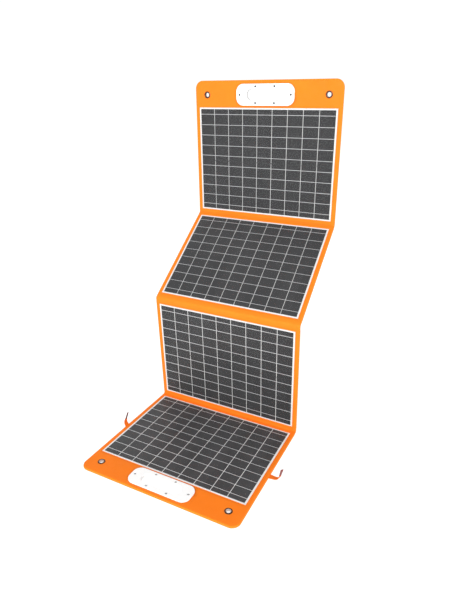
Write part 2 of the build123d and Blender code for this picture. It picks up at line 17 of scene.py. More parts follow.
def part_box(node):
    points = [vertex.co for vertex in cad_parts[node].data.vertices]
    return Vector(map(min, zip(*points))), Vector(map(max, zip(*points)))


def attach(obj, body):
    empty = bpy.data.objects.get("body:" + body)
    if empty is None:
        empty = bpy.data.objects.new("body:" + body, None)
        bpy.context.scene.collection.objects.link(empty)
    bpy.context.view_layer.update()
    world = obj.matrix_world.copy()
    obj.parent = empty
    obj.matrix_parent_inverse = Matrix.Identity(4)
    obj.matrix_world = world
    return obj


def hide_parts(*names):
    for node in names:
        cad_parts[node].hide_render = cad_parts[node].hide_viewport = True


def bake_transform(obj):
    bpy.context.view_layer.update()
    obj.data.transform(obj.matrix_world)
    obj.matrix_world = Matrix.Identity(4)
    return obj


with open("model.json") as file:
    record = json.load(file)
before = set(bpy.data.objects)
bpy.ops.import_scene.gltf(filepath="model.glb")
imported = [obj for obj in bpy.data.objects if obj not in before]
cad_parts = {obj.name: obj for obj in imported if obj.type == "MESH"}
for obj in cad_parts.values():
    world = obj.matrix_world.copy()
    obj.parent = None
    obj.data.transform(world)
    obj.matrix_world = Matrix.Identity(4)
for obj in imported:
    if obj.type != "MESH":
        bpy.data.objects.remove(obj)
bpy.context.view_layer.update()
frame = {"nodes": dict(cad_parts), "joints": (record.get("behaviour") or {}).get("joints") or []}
NODES = frame["nodes"]
JOINTS = {joint["name"]: joint for joint in frame["joints"]}
MM = 0.001


def box_mm(node):
    """Lowest and highest corner of a CAD node, in millimetres."""
    low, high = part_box(node)
    return low / MM, high / MM


# --- Sizes, most read from leaf 1, which lies level with its middle at the origin --------------
LEANS = {1: 0, 2: 95, 3: 38, 4: 93.5}  # leaf direction above +Y
back_low, back_high = box_mm("leaf_1_back_skin")
HALF = back_high.x  # of a leaf's width
FLAP = -back_low.y
FOLD_END = back_high.y
SKIN_TOP = box_mm("leaf_1_front_skin")[1].z
sheet_low, sheet_high = box_mm("leaf_1_front_sheet")
WINDOW = (sheet_high.x, sheet_high.y)
SHEET_MIDDLE = (sheet_low.z + sheet_high.z) / 2
plate_low, plate_high = box_mm("front_handle_plate")
HANDLE = -(plate_low.y + plate_high.y) / 2
PLATE_HALF = (plate_high.x, (plate_high.y - plate_low.y) / 2)
PLATE_CORNER = 22
PLATE_SHADE = (4.5, 0.75, 0.35)  # painted shadow: width, depth nearer the laminate and beyond
SLOT_HALF = (57.5, 16)
SLOT_CORNER = 15
SLOT_RECESS = 1.2  # of the front cloth behind the walls of the hand slot
eyelet_low, eyelet_high = box_mm("front_eyelets")
FLANGE = (eyelet_high.y - eyelet_low.y) / 2
EYELET_X = eyelet_high.x - FLANGE
EYELET_HOLE = 7.15  # radius of the hole in the cloth
FLAP_CORNER = 24
ENDS = {  # low end, high end, corner radii and the share of an inset that each end takes
    1: (-FLAP, FOLD_END, (FLAP_CORNER, 0), (1, 0.25)),
    2: (-FOLD_END, FOLD_END, (0, 0), (0.25, 0.25)),
    3: (-FOLD_END, FOLD_END, (0, 0), (0.25, 0.25)),
    4: (-FOLD_END, FLAP, (0, FLAP_CORNER), (0.25, 1)),
}
FLAP_SIDE = {1: -1, 4: 1}
FAR = 400  # past any fold end, where a hem line doesn't turn

# --- Cloth ------------------------------------------------------------------------------------
CLOTH = 0.6  # thickness
HEM_LINE = 3.9  # from an outside edge to its row of stitches
WINDOW_LINE = 2.5  # from the laminate to the row of stitches round it
EDGE_ROUND = 2.6  # radius of a turned-down edge
SEAM_HEIGHT = 1.5  # of the side seam over the back
SAG_PITCH = 31.2  # of the waves in a clear sheet
STITCH = (2.9, 4.0, 0.32)  # length, pitch and thread radius
STITCH_SIDES = 6
STITCH_SHAPE = (  # share of its length from its middle, share of its radius, rise
    (-0.5, 0.35, -0.35),
    (-0.32, 0.85, 0.0),
    (0.0, 1.0, 0.1),
    (0.32, 0.85, 0.0),
    (0.5, 0.35, -0.35),
)


def up_leaf(lean):
    """Unit vector up a leaf that leans so."""
    return Vector((0, math.cos(math.radians(lean)), math.sin(math.radians(lean))))


def out_of_face(lean):
    """Unit vector out of the face of a leaf that leans so."""
    return up_leaf(lean + 90)


def leaf_matrix(number):
    """Places a leaf's own coordinates in the row frame."""
    low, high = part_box(f"leaf_{number}_front_sheet")
    lean = LEANS[number]
    origin = (low + high) / 2 - out_of_face(lean) * SHEET_MIDDLE * MM
    return Matrix.Translation(origin) @ Matrix.Rotation(math.radians(lean), 4, "X")


LEAF = {number: leaf_matrix(number) for number in LEANS}
PIVOT = Vector(JOINTS["stand_swing"]["pos_m"])
STAND_SPREAD = 11  # angle between leaf 2 and the stand
STAND_LEAN = LEANS[2] + 180 + STAND_SPREAD
STAND = Matrix.Translation(PIVOT) @ Matrix.Rotation(math.radians(STAND_LEAN), 4, "X")


# --- Mesh helpers -----------------------------------------------------------------------------


def build(name, points, faces, matrix=None, uvs=None, marks=None):
    """A mesh piece from points in millimetres, with its cloth map and its marks of wear and
    painted light.
    """
    mesh = bpy.data.meshes.new(name)
    mesh.from_pydata([tuple(p) for p in np.asarray(points, float) * MM], [], faces)
    mesh.update()
    if uvs is not None:
        corner_vertex = np.zeros(len(mesh.loops), int)
        mesh.loops.foreach_get("vertex_index", corner_vertex)
        layer = mesh.uv_layers.new(name="cloth")
        values = (np.asarray(uvs, float) * MM)[corner_vertex]
        layer.data.foreach_set("uv", values.astype(np.float32).ravel())
    if marks is not None:
        wear_and_painted_light = mesh.attributes.new("wear_and_painted_light", "FLOAT", "POINT")
        wear_and_painted_light.data.foreach_set("value", np.asarray(marks, np.float32))
    mesh.shade_smooth()
    piece = bpy.data.objects.new(name, mesh)
    bpy.context.scene.collection.objects.link(piece)
    if matrix is not None:
        piece.matrix_world = matrix
    return piece


def thicken(piece, thickness=CLOTH, offset=-1):
    """Gives a single surface its thickness: behind it, or in front with an offset of 1."""
    shell = piece.modifiers.new("thickness", "SOLIDIFY")
    shell.thickness = thickness * MM
    shell.offset = offset
    return piece


def ring(low, high, inset, half=HALF, corners=(0, 0), shares=(1, 1), step=6, turns=10):
    """Anticlockwise loop round a rectangle with round corners, moved in by inset. It has the
    same number of points for any inset."""
    corner_runs = []
    for side, end, up, corner, share, start in (
        (1, low, -1, corners[0], shares[0], -90),
        (1, high, 1, corners[1], shares[1], 0),
        (-1, high, 1, corners[1], shares[1], 90),
        (-1, low, -1, corners[0], shares[0], 180),
    ):
        radius = max(corner - inset, 0) if corner else 0
        middle = np.array((side * (half - inset - radius), end - up * (inset * share + radius)))
        angles = np.radians(np.linspace(start, start + 90, turns + 1 if corner else 1))
        arc = middle + radius * np.stack((np.cos(angles), np.sin(angles)), 1)
        corner_runs.append(arc)
    spans = (high - low, 2 * half, high - low, 2 * half)
    loop = []
    for index, arc in enumerate(corner_runs):
        following = corner_runs[(index + 1) % 4][0]
        count = max(1, round(spans[index] / step))
        shares_along = np.linspace(0, 1, count + 1)[1:-1, None]
        loop += [arc, arc[-1] + (following - arc[-1]) * shares_along]
    return np.concatenate(loop)


def circle(x, y, radius):
    """Anticlockwise circle."""
    angles = np.linspace(0, 2 * math.pi, 40, endpoint=False)
    return np.stack((x + radius * np.cos(angles), y + radius * np.sin(angles)), 1)


def rectangle_distance(xy, low, high, half, corners=(0, 0)):
    """Distance of points outside a rectangle with round corners, negative inside it."""
    x, y = xy[:, 0], xy[:, 1]
    middle, reach = (low + high) / 2, (high - low) / 2
    corner = np.where(y > middle, corners[1], corners[0])
    along = np.abs(x) - half + corner
    up = np.abs(y - middle) - reach + corner
    outside = np.hypot(np.maximum(along, 0), np.maximum(up, 0))
    return outside + np.minimum(np.maximum(along, up), 0) - corner


def fill(loops, inside, spacing, clearance):
    """Triangles that fill the space that inside() accepts. The loops are kept as edges, and a
    grid of points keeps clear of them. Returns points, faces and each loop's point numbers."""
    points, edges, starts = [], [], []
    for loop in loops:
        first = len(points)
        starts.append(first)
        points += [tuple(p) for p in loop]
        edges += [(first + k, first + (k + 1) % len(loop)) for k in range(len(loop))]
    on_loops = np.array(points)
    low, high = on_loops.min(0), on_loops.max(0)
    xs, ys = (np.arange(low[k] + spacing / 2, high[k], spacing) for k in (0, 1))
    grid = np.array([(x, y) for x in xs for y in ys])
    grid = grid[inside(grid)]
    if len(grid):
        nearest = np.full(len(grid), 1e9)
        for part in np.array_split(on_loops, max(1, len(on_loops) // 500)):
            apart = grid[:, None] - part[None]
            gaps = np.hypot(apart[..., 0], apart[..., 1])
            nearest = np.minimum(nearest, gaps.min(1))
        points += [tuple(p) for p in grid[nearest > clearance]]
    made = geometry.delaunay_2d_cdt([Vector(p) for p in points], edges, [], 0, 1e-5)
    flat = np.array([tuple(p) for p in made[0]])
    faces = np.array(made[2])
    middles = flat[faces].mean(1)
    faces = faces[inside(middles)]
    number_of = {}
    for new, old in enumerate(made[3]):
        for each in old:
            number_of[each] = new
    numbers = [[number_of[a + k] for k in range(len(loop))] for a, loop in zip(starts, loops)]
    return flat, [tuple(int(k) for k in face) for face in faces], numbers


def bridge(first, second):
    """Quads between two closed loops of point numbers."""
    count = len(first)
    turns = [(k, (k + 1) % count) for k in range(count)]
    return [(first[k], first[n], second[n], second[k]) for k, n in turns]


def tube_faces(first, rings, sides):
    """Faces of a closed tube, whose rings of points follow each other from the first point."""
    last = first + (rings - 1) * sides
    faces = []
    for a in range(first, last, sides):
        for k in range(sides):
            n = (k + 1) % sides
            faces.append((a + k, a + n, a + sides + n, a + sides + k))
    faces.append(tuple(first + k for k in reversed(range(sides))))
    faces.append(tuple(last + k for k in range(sides)))
    return faces


def grid_faces(rows, columns):
    """Faces over a grid of points that are given row by row."""
    return [
        (a, a + columns, a + columns + 1, a + 1)
        for row in range(rows - 1)
        for a in range(row * columns, (row + 1) * columns - 1)
    ]


class Shell:
    """Points, cloth map and marks of wear and painted light of a piece that starts flat and grows
    ring by ring.
    """

    def __init__(self, flat, height, faces, marks, uvs=None):
        self.points = np.column_stack((flat, height))
        self.faces, self.marks = faces, marks
        self.uvs = flat if uvs is None else uvs

    def grow(self, loop, height, uvs, mark):
        """Adds a loop of points, all with one mark, and returns their numbers."""
        first = len(self.points)
        height = np.broadcast_to(height, len(loop))
        self.points = np.concatenate((self.points, np.column_stack((loop, height))))
        self.uvs = np.concatenate((self.uvs, uvs))
        self.marks = np.concatenate((self.marks, np.full(len(loop), mark)))
        return list(range(first, first + len(loop)))

    def build(self, name, matrix):
        """The finished piece."""
        return build(name, self.points, self.faces, matrix, self.uvs, self.marks)


def ripple(points, scale, seed=0.0):
    """Smooth noise from -1 to 1 at each point, with features about scale long."""
    return np.array([noise.noise(Vector((x / scale, y / scale, seed))) for x, y in points])


def groove(distance, width, depth):
    """Soft channel along a line of zero distance."""
    return -depth * np.exp(-((distance / width) ** 2))


def spaced(path, pitch):
    """Points and directions along a path, a pitch apart and centred on it."""
    path = np.asarray(path, float)
    steps = np.linalg.norm(np.diff(path, axis=0), axis=1)
    length = np.concatenate(([0], np.cumsum(steps)))
    count = max(1, int(length[-1] // pitch))
    spots = (np.arange(count) + 0.5) * length[-1] / count
    index = np.clip(np.searchsorted(length, spots) - 1, 0, len(steps) - 1)
    share = (spots - length[index]) / np.maximum(steps[index], 1e-9)
    middles = path[index] + (path[index + 1] - path[index]) * share[:, None]
    ways = (path[index + 1] - path[index]) / np.maximum(steps[index], 1e-9)[:, None]
    return middles, ways


def stitches(name, runs, normal, matrix, body):
    """Lock stitches along paths on a body: short threads that dip into the cloth at their ends."""
    length, pitch, radius = STITCH
    normal = np.asarray(normal, float)
    points, faces = [], []
    for run in runs:
        middles, ways = spaced(run, pitch)
        for middle, way in zip(middles, ways):
            across = np.cross(way, normal)
            first = len(points)
            for along, width, rise in STITCH_SHAPE:
                for k in range(STITCH_SIDES):
                    turn = 2 * math.pi * k / STITCH_SIDES
                    points.append(
                        middle
                        + way * along * length
                        + normal * (rise + radius * width * math.sin(turn))
                        + across * radius * width * math.cos(turn)
                    )
            faces += tube_faces(first, len(STITCH_SHAPE), STITCH_SIDES)
    thread = build(name, points, faces, matrix)
    wear(thread, THREAD)
    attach(thread, body)


def turned_about(vector, way, turn):
    """A vector turned about a unit direction that it is square to."""
    return vector * math.cos(turn) + np.cross(way, vector) * math.sin(turn)


def directions(path):
    """Unit directions along a path, at its points."""
    ways = np.gradient(np.asarray(path, float), axis=0)
    return ways / np.linalg.norm(ways, axis=1)[:, None]


def ribbon(name, path, across, half_width, thickness, columns=9, taper=1.0, twist=(0.0, 0.0)):
    """Strip of cloth or webbing with soft edges that follows a path. across is its unit
    direction of width and the path's points are its middle. taper is the share of its width
    that is left at its far end, and twist is its turn about the path at each end."""
    path = np.asarray(path, float)
    across = np.asarray(across, float)
    ways = directions(path)
    edge = thickness / 2
    outline = [(-half_width, 0.0)]
    spots = np.linspace(-half_width + edge * 0.8, half_width - edge * 0.8, columns)
    outline += [(w, edge) for w in spots]
    outline += [(half_width, 0.0)]
    outline += [(w, -edge) for w in spots[::-1]]
    lengths = np.concatenate(([0], np.cumsum(np.linalg.norm(np.diff(path, axis=0), axis=1))))
    points, uvs = [], []
    last = len(path) - 1
    for index, (spot, way) in enumerate(zip(path, ways)):
        share = lengths[index] / lengths[-1]
        turn = twist[0] + (twist[1] - twist[0]) * share
        wide = turned_about(across - way * way.dot(across), way, turn)
        normal = np.cross(way, wide)
        normal /= np.linalg.norm(normal)
        tuck = 0.45 if index in (0, last) else 1.0
        narrow = 1 - (1 - taper) * share
        for w, h in outline:
            points.append(spot + wide * w * narrow + normal * h * tuck)
            uvs.append((w, lengths[index]))
    return build(name, points, tube_faces(0, len(path), len(outline)), None, uvs)


def smooth_path(points, rounds):
    """Rounds the corners of a path by cutting them, keeping its ends."""
    path = np.asarray(points, float)
    for _ in range(rounds):
        early = path[:-1] * 0.75 + path[1:] * 0.25
        late = path[:-1] * 0.25 + path[1:] * 0.75
        between = np.stack((early, late), 1).reshape(-1, path.shape[1])
        path = np.concatenate((path[:1], between, path[-1:]))
    return path


# --- Materials --------------------------------------------------------------------------------

# The studio's light falls unevenly on the leaves, and these tones cancel that: from the photo's
# angle the like parts of all leaves look alike. In even light they would differ from each other.
CELL_LEVEL = {1: 2.0, 2: 0.85, 3: 1.1, 4: 0.55}
BACKSHEET_LEVEL = {1: 1.06, 2: 0.9, 3: 0.9, 4: 0.86}
COLUMN_GAP_SHADE = {1: 1.0, 2: 1.0, 3: 0.78, 4: 0.78}  # painted shade on the backsheet between the columns of cells
RIBBON_LEVEL = {1: 1.1, 2: 1.0, 3: 0.72, 4: 0.72}
PLATE_TONE = {1: (0.98, 0.98, 0.975), 4: (0.93, 0.93, 0.925)}
# painted shade on the walls of a hand slot
SLOT_WALL_SHADE = {1: (0.85, 0.85, 0.85), 4: (0.55, 0.55, 0.55)}
# painted light in an eyelet's bore: lighter on leaf 1, shade on leaf 4
BORE_PAINTED_LIGHT = {1: (0.55, 0.46, 0.42), 4: (0.07, 0.03, 0.018)}
SCREW_TONE = {1: (0.5, 0.5, 0.5), 4: (0.12, 0.12, 0.12)}
STREAK = 0.08  # change of roughness along the streaks of a metal


class Look:
    """A node material with a Principled shader, and short ways to add nodes to it."""

    def __init__(self, name, colour, roughness, **sockets):
        self.material = bpy.data.materials.new(name)
        self.material.use_nodes = True
        self.nodes = self.material.node_tree.nodes
        self.links = self.material.node_tree.links
        self.shader = next(n for n in self.nodes if n.type == "BSDF_PRINCIPLED")
        self.shader.inputs["Base Color"].default_value = (*colour, 1)
        self.shader.inputs["Roughness"].default_value = roughness
        for socket, value in sockets.items():
            self.shader.inputs[socket.replace("_", " ")].default_value = value

    def add(self, kind, *inputs, **settings):
        """A node, with its first sockets linked or set and its settings given."""
        node = self.nodes.new("ShaderNode" + kind)
        for key, value in settings.items():
            setattr(node, key, value)
        for socket, value in zip(node.inputs, inputs):
            self.put(socket, value)
        return node

    def put(self, socket, value):
        """Links a socket to another node's output, or sets it."""
        if value is None:
            return
        if isinstance(value, bpy.types.NodeSocket):
            self.links.new(value, socket)
        else:
            socket.default_value = value

    def maths(self, operation, first, second=None):
        """Output of a Math node."""
        return self.add("Math", first, second, operation=operation).outputs[0]

    def length(self, first, second):
        """Length of a vector from its two parts."""
        squares = [self.maths("MULTIPLY", part, part) for part in (first, second)]
        return self.maths("SQRT", self.maths("ADD", *squares))

    def place(self, matrix=None):
        """Object coordinates in metres, or a leaf's own for a CAD node."""
        spot = self.add("TexCoord").outputs["Object"]
        if matrix is None:
            return spot
        inverse = matrix.inverted()
        mapping = self.add("Mapping")
        self.put(mapping.inputs["Vector"], spot)
        mapping.inputs["Location"].default_value = inverse.to_translation()
        mapping.inputs["Rotation"].default_value = inverse.to_euler()
        return mapping.outputs[0]

    def cloth_map(self):
        """The flat cloth's own coordinates in metres."""
        return self.add("UVMap", uv_map="cloth").outputs[0]

    def noise(self, where, scale, detail=3.0, roughness=0.5):
        """Noise from 0 to 1."""
        node = self.add("TexNoise")
        self.put(node.inputs["Vector"], where)
        node.inputs["Scale"].default_value = scale
        node.inputs["Detail"].default_value = detail
        node.inputs["Roughness"].default_value = roughness
        return node.outputs["Fac"]

    def between(self, value, low, high, to_low, to_high):
        """Maps a value from one range to another, clamped."""
        node = self.add("MapRange")
        for socket, each in zip(node.inputs, (value, low, high, to_low, to_high)):
            self.put(socket, each)
        return node.outputs[0]

    def blend(self, share, first, second):
        """Mixes two colours."""
        node = self.add("Mix", data_type="RGBA")
        self.put(node.inputs["Factor"], share)
        for socket, colour in ((node.inputs[6], first), (node.inputs[7], second)):
            self.put(socket, colour if isinstance(colour, bpy.types.NodeSocket) else (*colour, 1))
        return node.outputs[2]

    def bump(self, height, distance, strength=1.0):
        """A Bump node's normal, from a height that stands for distance millimetres."""
        node = self.add("Bump")
        node.inputs["Strength"].default_value = strength
        node.inputs["Distance"].default_value = distance * MM
        self.put(node.inputs["Height"], height)
        return node.outputs[0]

    def finish(self, colour=None, roughness=None, normal=None):
        """Links what is given to the shader."""
        self.put(self.shader.inputs["Base Color"], colour)
        self.put(self.shader.inputs["Roughness"], roughness)
        self.put(self.shader.inputs["Normal"], normal)
        return self.material


def shade(colour, factor):
    """A colour made lighter or darker."""
    return tuple(min(1.0, c * factor) for c in colour)


def woven(name, colour, pitch=0.9, depth=0.07, roughness=0.68, sheen=0.04, contrast=0.12):
    """Coated plain weave: bumps of warp and weft and uneven dye. Where its mark is above zero it
    is lighter, for wear and for a painted highlight, and where the mark is below zero it is
    darker, for painted shade."""
    look = Look(name, colour, roughness, Sheen_Weight=sheen, Sheen_Roughness=0.45)
    look.shader.inputs["Specular IOR Level"].default_value = 0.22
    look.shader.inputs["Sheen Tint"].default_value = (*shade(colour, 1.4), 1)
    where = look.cloth_map()
    split = look.add("SeparateXYZ", where)
    turns = math.pi / (pitch * MM)
    warp = look.maths("SINE", look.maths("MULTIPLY", split.outputs[0], turns))
    weft = look.maths("SINE", look.maths("MULTIPLY", split.outputs[1], turns))
    weave = look.maths("MULTIPLY", warp, weft)
    slub = look.noise(where, 900, 2)
    height = look.maths("ADD", look.maths("MULTIPLY", weave, 0.5), slub)
    tone = look.between(look.noise(where, 14, 4), 0.2, 0.8, 0.0, 1.0)
    tint = look.blend(tone, shade(colour, 1 - contrast / 2), shade(colour, 1 + contrast / 2))
    threads = look.between(weave, -1.0, 1.0, 0.0, 0.25)
    tint = look.blend(threads, tint, shade(colour, 0.72))
    wear_and_light_mark = look.add("Attribute", attribute_name="wear_and_painted_light").outputs["Fac"]
    # painted shade where the mark is below zero
    crease = look.maths("MULTIPLY", wear_and_light_mark, -1.0)
    tint = look.blend(crease, tint, shade(colour, 0.6))
    patches = look.between(look.noise(where, 160, 4), 0.35, 0.75, 0.1, 0.5)
    # wear along hemmed edges and a painted highlight along the mountain fold, where the mark is
    # above zero
    rubbed_and_highlit = look.maths("MULTIPLY", wear_and_light_mark, patches)
    tint = look.blend(rubbed_and_highlit, tint, shade(colour, 1.35))
    dull = look.between(look.noise(where, 60, 3), 0.3, 0.7, roughness - 0.07, roughness + 0.07)
    return look.finish(tint, dull, look.bump(height, depth, 0.8))


def rolled_eyelet(number):
    """Eyelets of dark brown metal, a painted reflection of dark surroundings with some tarnish,
    with a painted highlight on the rim and a bore painted lighter on leaf 1 and in shade on leaf
    4.
    """
    look = Look(f"eyelet_nickel_{number}", (0.16, 0.07, 0.04), 0.25, Metallic=1.0)
    where = look.place(LEAF[number])
    split = look.add("SeparateXYZ", where)
    aside = look.maths("SUBTRACT", look.maths("ABSOLUTE", split.outputs[0]), EYELET_X * MM)
    along = look.maths("SUBTRACT", split.outputs[1], FLAP_SIDE[number] * HANDLE * MM)
    radius = look.length(aside, along)
    # painted light in the bore, lighter on leaf 1 and shade on leaf 4, and a painted highlight on
    # the rolled rim
    painted_bore = look.between(radius, 6.5 * MM, 7.4 * MM, 1.0, 0.0)
    rim = look.between(radius, 9.0 * MM, 10.2 * MM, 0.0, 0.7)
    tarnish = look.between(look.noise(where, 300, 4), 0.35, 0.7, 0.0, 1.0)
    # dark brown stands for a painted reflection of dark surroundings, varied at random by tarnish
    tint = look.blend(tarnish, (0.16, 0.075, 0.045), (0.09, 0.035, 0.02))
    tint = look.blend(painted_bore, tint, BORE_PAINTED_LIGHT[number])
    tint = look.blend(rim, tint, (0.26, 0.11, 0.05))
    dull = look.between(look.noise(where, 900, 3), 0.3, 0.7, 0.2, 0.34)
    return look.finish(tint, dull, look.bump(look.noise(where, 1600, 2), 0.01, 0.5))


def moulded(name, colour, roughness, grain):
    """Moulded plastic or rubber with a fine spark texture and slight scuffs."""
    look = Look(name, colour, roughness, Specular_IOR_Level=0.45)
    where = look.place()
    spark = look.noise(where, 2600, 2)
    scuff = look.noise(where, 35, 5, 0.6)
    scuffed = look.between(scuff, 0.35, 0.75, 0.0, 1.0)
    tint = look.blend(scuffed, shade(colour, 1.03), shade(colour, 0.97))
    dull = look.between(scuff, 0.3, 0.8, roughness - 0.05, roughness + 0.12)
    return look.finish(tint, dull, look.bump(spark, grain, 0.6))


def slotted_plate(number):
    """White plastic of a handle, with painted shade on the walls of its hand slot."""
    colour = PLATE_TONE[number]
    look = Look(f"white_plastic_{number}", colour, 0.4, Specular_IOR_Level=0.45)
    where = look.place(LEAF[number])
    split = look.add("SeparateXYZ", where)
    along = look.maths("SUBTRACT", split.outputs[1], FLAP_SIDE[number] * HANDLE * MM)
    past = []
    for spot, half in zip((split.outputs[0], along), SLOT_HALF):
        aside = look.maths("SUBTRACT", look.maths("ABSOLUTE", spot), (half - SLOT_CORNER) * MM)
        past.append(look.maths("MAXIMUM", aside, 0.0))
    radius = look.length(*past)
    # painted shade on the walls of the hand slot
    wall = look.between(radius, (SLOT_CORNER + 0.2) * MM, (SLOT_CORNER + 1.2) * MM, 1.0, 0.0)
    tint = look.blend(look.noise(where, 35, 5), colour, shade(colour, 0.97))
    tint = look.blend(wall, tint, SLOT_WALL_SHADE[number])
    return look.finish(tint, None, look.bump(look.noise(where, 2600, 2), 0.03, 0.6))


def metal(name, colour, roughness, stretch=(1, 1, 1), metallic=1.0):
    """Plated metal with fine streaks and a little tarnish."""
    look = Look(name, colour, roughness, Metallic=metallic)
    where = look.place()
    mapping = look.add("Mapping")
    look.put(mapping.inputs["Vector"], where)
    mapping.inputs["Scale"].default_value = stretch
    streaks = look.noise(mapping.outputs[0], 1800, 3)
    tarnish = look.noise(where, 120, 4)
    tarnished = look.between(tarnish, 0.4, 0.75, 0.0, 1.0)
    tint = look.blend(tarnished, colour, shade(colour, 1 - 2 * STREAK))
    dull = look.between(streaks, 0.3, 0.7, roughness - STREAK, roughness + STREAK)
    return look.finish(tint, dull, look.bump(streaks, 0.01, 0.5))


CELL_EDGE, CELL_END = box_mm("leaf_1_cells")[1].xy
CELL_COLUMNS, CELL_ROWS = 9, 2
CELL_PITCH = (2 * box_mm("leaf_1_ribbons")[1].x / CELL_COLUMNS, 2 * CELL_END / CELL_ROWS)
FINGER = (1.6, 0.16)  # pitch of the cells' fine fingers, and half of a finger's width
GAP_STRIP = 1.0  # half-width of the dark strip behind the gap between the rows of cells
GAP_COLOUR = (0.03, 0.03, 0.031)


def silicon(number):
    """Dark cells: a slightly different tone in every cell and fine silver fingers."""
    colour = shade((0.027, 0.027, 0.028), CELL_LEVEL[number])
    look = Look(f"solar_cell_{number}", colour, 0.42, Specular_IOR_Level=0.25)
    where = look.place(LEAF[number])
    split = look.add("SeparateXYZ", where)
    finger = look.maths("PINGPONG", split.outputs[0], FINGER[0] * MM / 2)
    line = look.between(finger, 0.0, FINGER[1] * MM, 0.02, 0.0)
    cell = look.maths("FLOOR", look.maths("DIVIDE", split.outputs[0], CELL_PITCH[0] * MM))
    row = look.maths("FLOOR", look.maths("DIVIDE", split.outputs[1], CELL_PITCH[1] * MM))
    pick = look.add("CombineXYZ", cell, row, float(number))
    chance = look.add("TexWhiteNoise", pick.outputs[0]).outputs["Value"]
    tint = look.blend(chance, shade(colour, 0.9), shade(colour, 1.1))
    mottle = look.between(look.noise(where, 90, 4), 0.3, 0.7, 0.0, 0.3)
    tint = look.blend(mottle, tint, (0.022, 0.024, 0.03))
    tint = look.blend(line, tint, (0.25, 0.25, 0.26))
    dull = look.between(look.noise(where, 30, 3), 0.3, 0.7, 0.38, 0.48)
    return look.finish(tint, dull)


def tinned(number):
    """Dull tinned copper of the ribbons, streaked along their length."""
    colour = shade((0.86, 0.87, 0.88), RIBBON_LEVEL[number])
    return metal(f"tinned_ribbon_{number}", colour, 0.5, (0.05, 1, 1), metallic=0.5)


def clear_film(number):
    """Clear fluoropolymer with a fine dimple pattern, which shows what is under it."""
    look = Look(f"clear_sheet_{number}", (0.35, 0.355, 0.36), 0.3, Alpha=0.03, IOR=1.42)
    where = look.place()
    dimples = look.add("TexVoronoi", feature="SMOOTH_F1")
    look.put(dimples.inputs["Vector"], where)
    dimples.inputs["Scale"].default_value = 700
    haze = look.between(look.noise(where, 40, 3), 0.3, 0.7, 0.24, 0.36)
    return look.finish(None, haze, look.bump(dimples.outputs["Distance"], 0.02, 0.5))


def white_film(number):
    """White backsheet, which shows as the border and between the columns of cells, where it has
    painted shade. A dark strip hides the narrow gap between the two rows."""
    colour = shade((0.86, 0.86, 0.85), BACKSHEET_LEVEL[number])
    look = Look(f"white_backsheet_{number}", colour, 0.5)
    where = look.place(LEAF[number])
    tone = look.between(look.noise(where, 30, 4), 0.3, 0.7, 0.0, 1.0)
    tint = look.blend(tone, shade(colour, 0.96), colour)
    split = look.add("SeparateXYZ", where)
    from_gap = look.maths("ABSOLUTE", split.outputs[1])
    # painted shade on the backsheet between the columns of cells
    inside = look.maths("LESS_THAN", look.maths("ABSOLUTE", split.outputs[0]), CELL_EDGE * MM)
    shaded_gaps = look.maths("MULTIPLY", inside, look.maths("LESS_THAN", from_gap, CELL_END * MM))
    tint = look.blend(shaded_gaps, tint, shade(colour, COLUMN_GAP_SHADE[number]))
    strip = look.maths("MULTIPLY", inside, look.maths("LESS_THAN", from_gap, GAP_STRIP * MM))
    tint = look.blend(strip, tint, GAP_COLOUR)
    return look.finish(tint, None, look.bump(look.noise(where, 1200, 2), 0.02, 0.4))


def circuit(name):
    """Solder mask with tracks and pads."""
    look = Look(name, (0.02, 0.16, 0.07), 0.35)
    where = look.place(LEAF[4])
    bricks = look.add("TexBrick")
    look.put(bricks.inputs["Vector"], where)
    bricks.inputs["Color1"].default_value = (0.02, 0.17, 0.07, 1)
    bricks.inputs["Color2"].default_value = (0.03, 0.2, 0.09, 1)
    bricks.inputs["Mortar"].default_value = (0.35, 0.33, 0.12, 1)
    bricks.inputs["Scale"].default_value = 60
    bricks.inputs["Mortar Size"].default_value = 0.03
    return look.finish(bricks.outputs["Color"], None, look.bump(look.noise(where, 800), 0.03))


ORANGE = (0.98, 0.21, 0.008)
CLOTH_FRONT = woven("orange_cloth", ORANGE)
CLOTH_BACK = woven("back_cloth", shade(ORANGE, 0.93), 1.1, 0.1, 0.7, 0.1)
CLOTH_FOLD = woven("fold_cloth", ORANGE, contrast=0.16)
THREAD = moulded("thread", (0.9, 0.2, 0.02), 0.6, 0.02)
WEBBING = woven("tab_webbing", (0.93, 0.185, 0.012), 1.6, 0.25, 0.7, 0.2)
STAY = woven("stay_webbing", (0.035, 0.035, 0.037), 1.8, 0.3, 0.75, 0.2)
BINDING = woven("binding_tape", (0.05, 0.05, 0.052), 1.2, 0.15, 0.7, 0.2)
HOOKS = moulded("tab_hook", (0.2, 0.035, 0.03), 0.4, 0.3)
HANDLE_PLASTIC = {number: slotted_plate(number) for number in FLAP_SIDE}
BOARD = moulded("stiffener", (0.72, 0.72, 0.7), 0.5, 0.03)
RUBBER = moulded("rubber_foot", (0.03, 0.03, 0.03), 0.75, 0.08)
LEAD = moulded("lead_jacket", (0.025, 0.025, 0.027), 0.5, 0.02)
BLACK = moulded("controller_plastic", (0.035, 0.035, 0.038), 0.5, 0.04)
EYELET_METAL = {number: rolled_eyelet(number) for number in FLAP_SIDE}
STEEL = {number: metal(f"screw_steel_{number}", SCREW_TONE[number], 0.35) for number in FLAP_SIDE}
SOCKET = metal("socket_steel", (0.62, 0.62, 0.63), 0.3)
BOARD_MASK = circuit("circuit_board")


def wear(piece, material):
    """Gives a piece its material."""
    piece.data.materials.clear()
    piece.data.materials.append(material)
    return piece


# --- Leaves -----------------------------------------------------------------------------------


def leaf_ring(number, inset, step=6):
    """Loop along a leaf's outline, moved in by inset."""
    low, high, corners, shares = ENDS[number]
    return ring(low, high, inset, corners=corners, shares=shares, step=step)


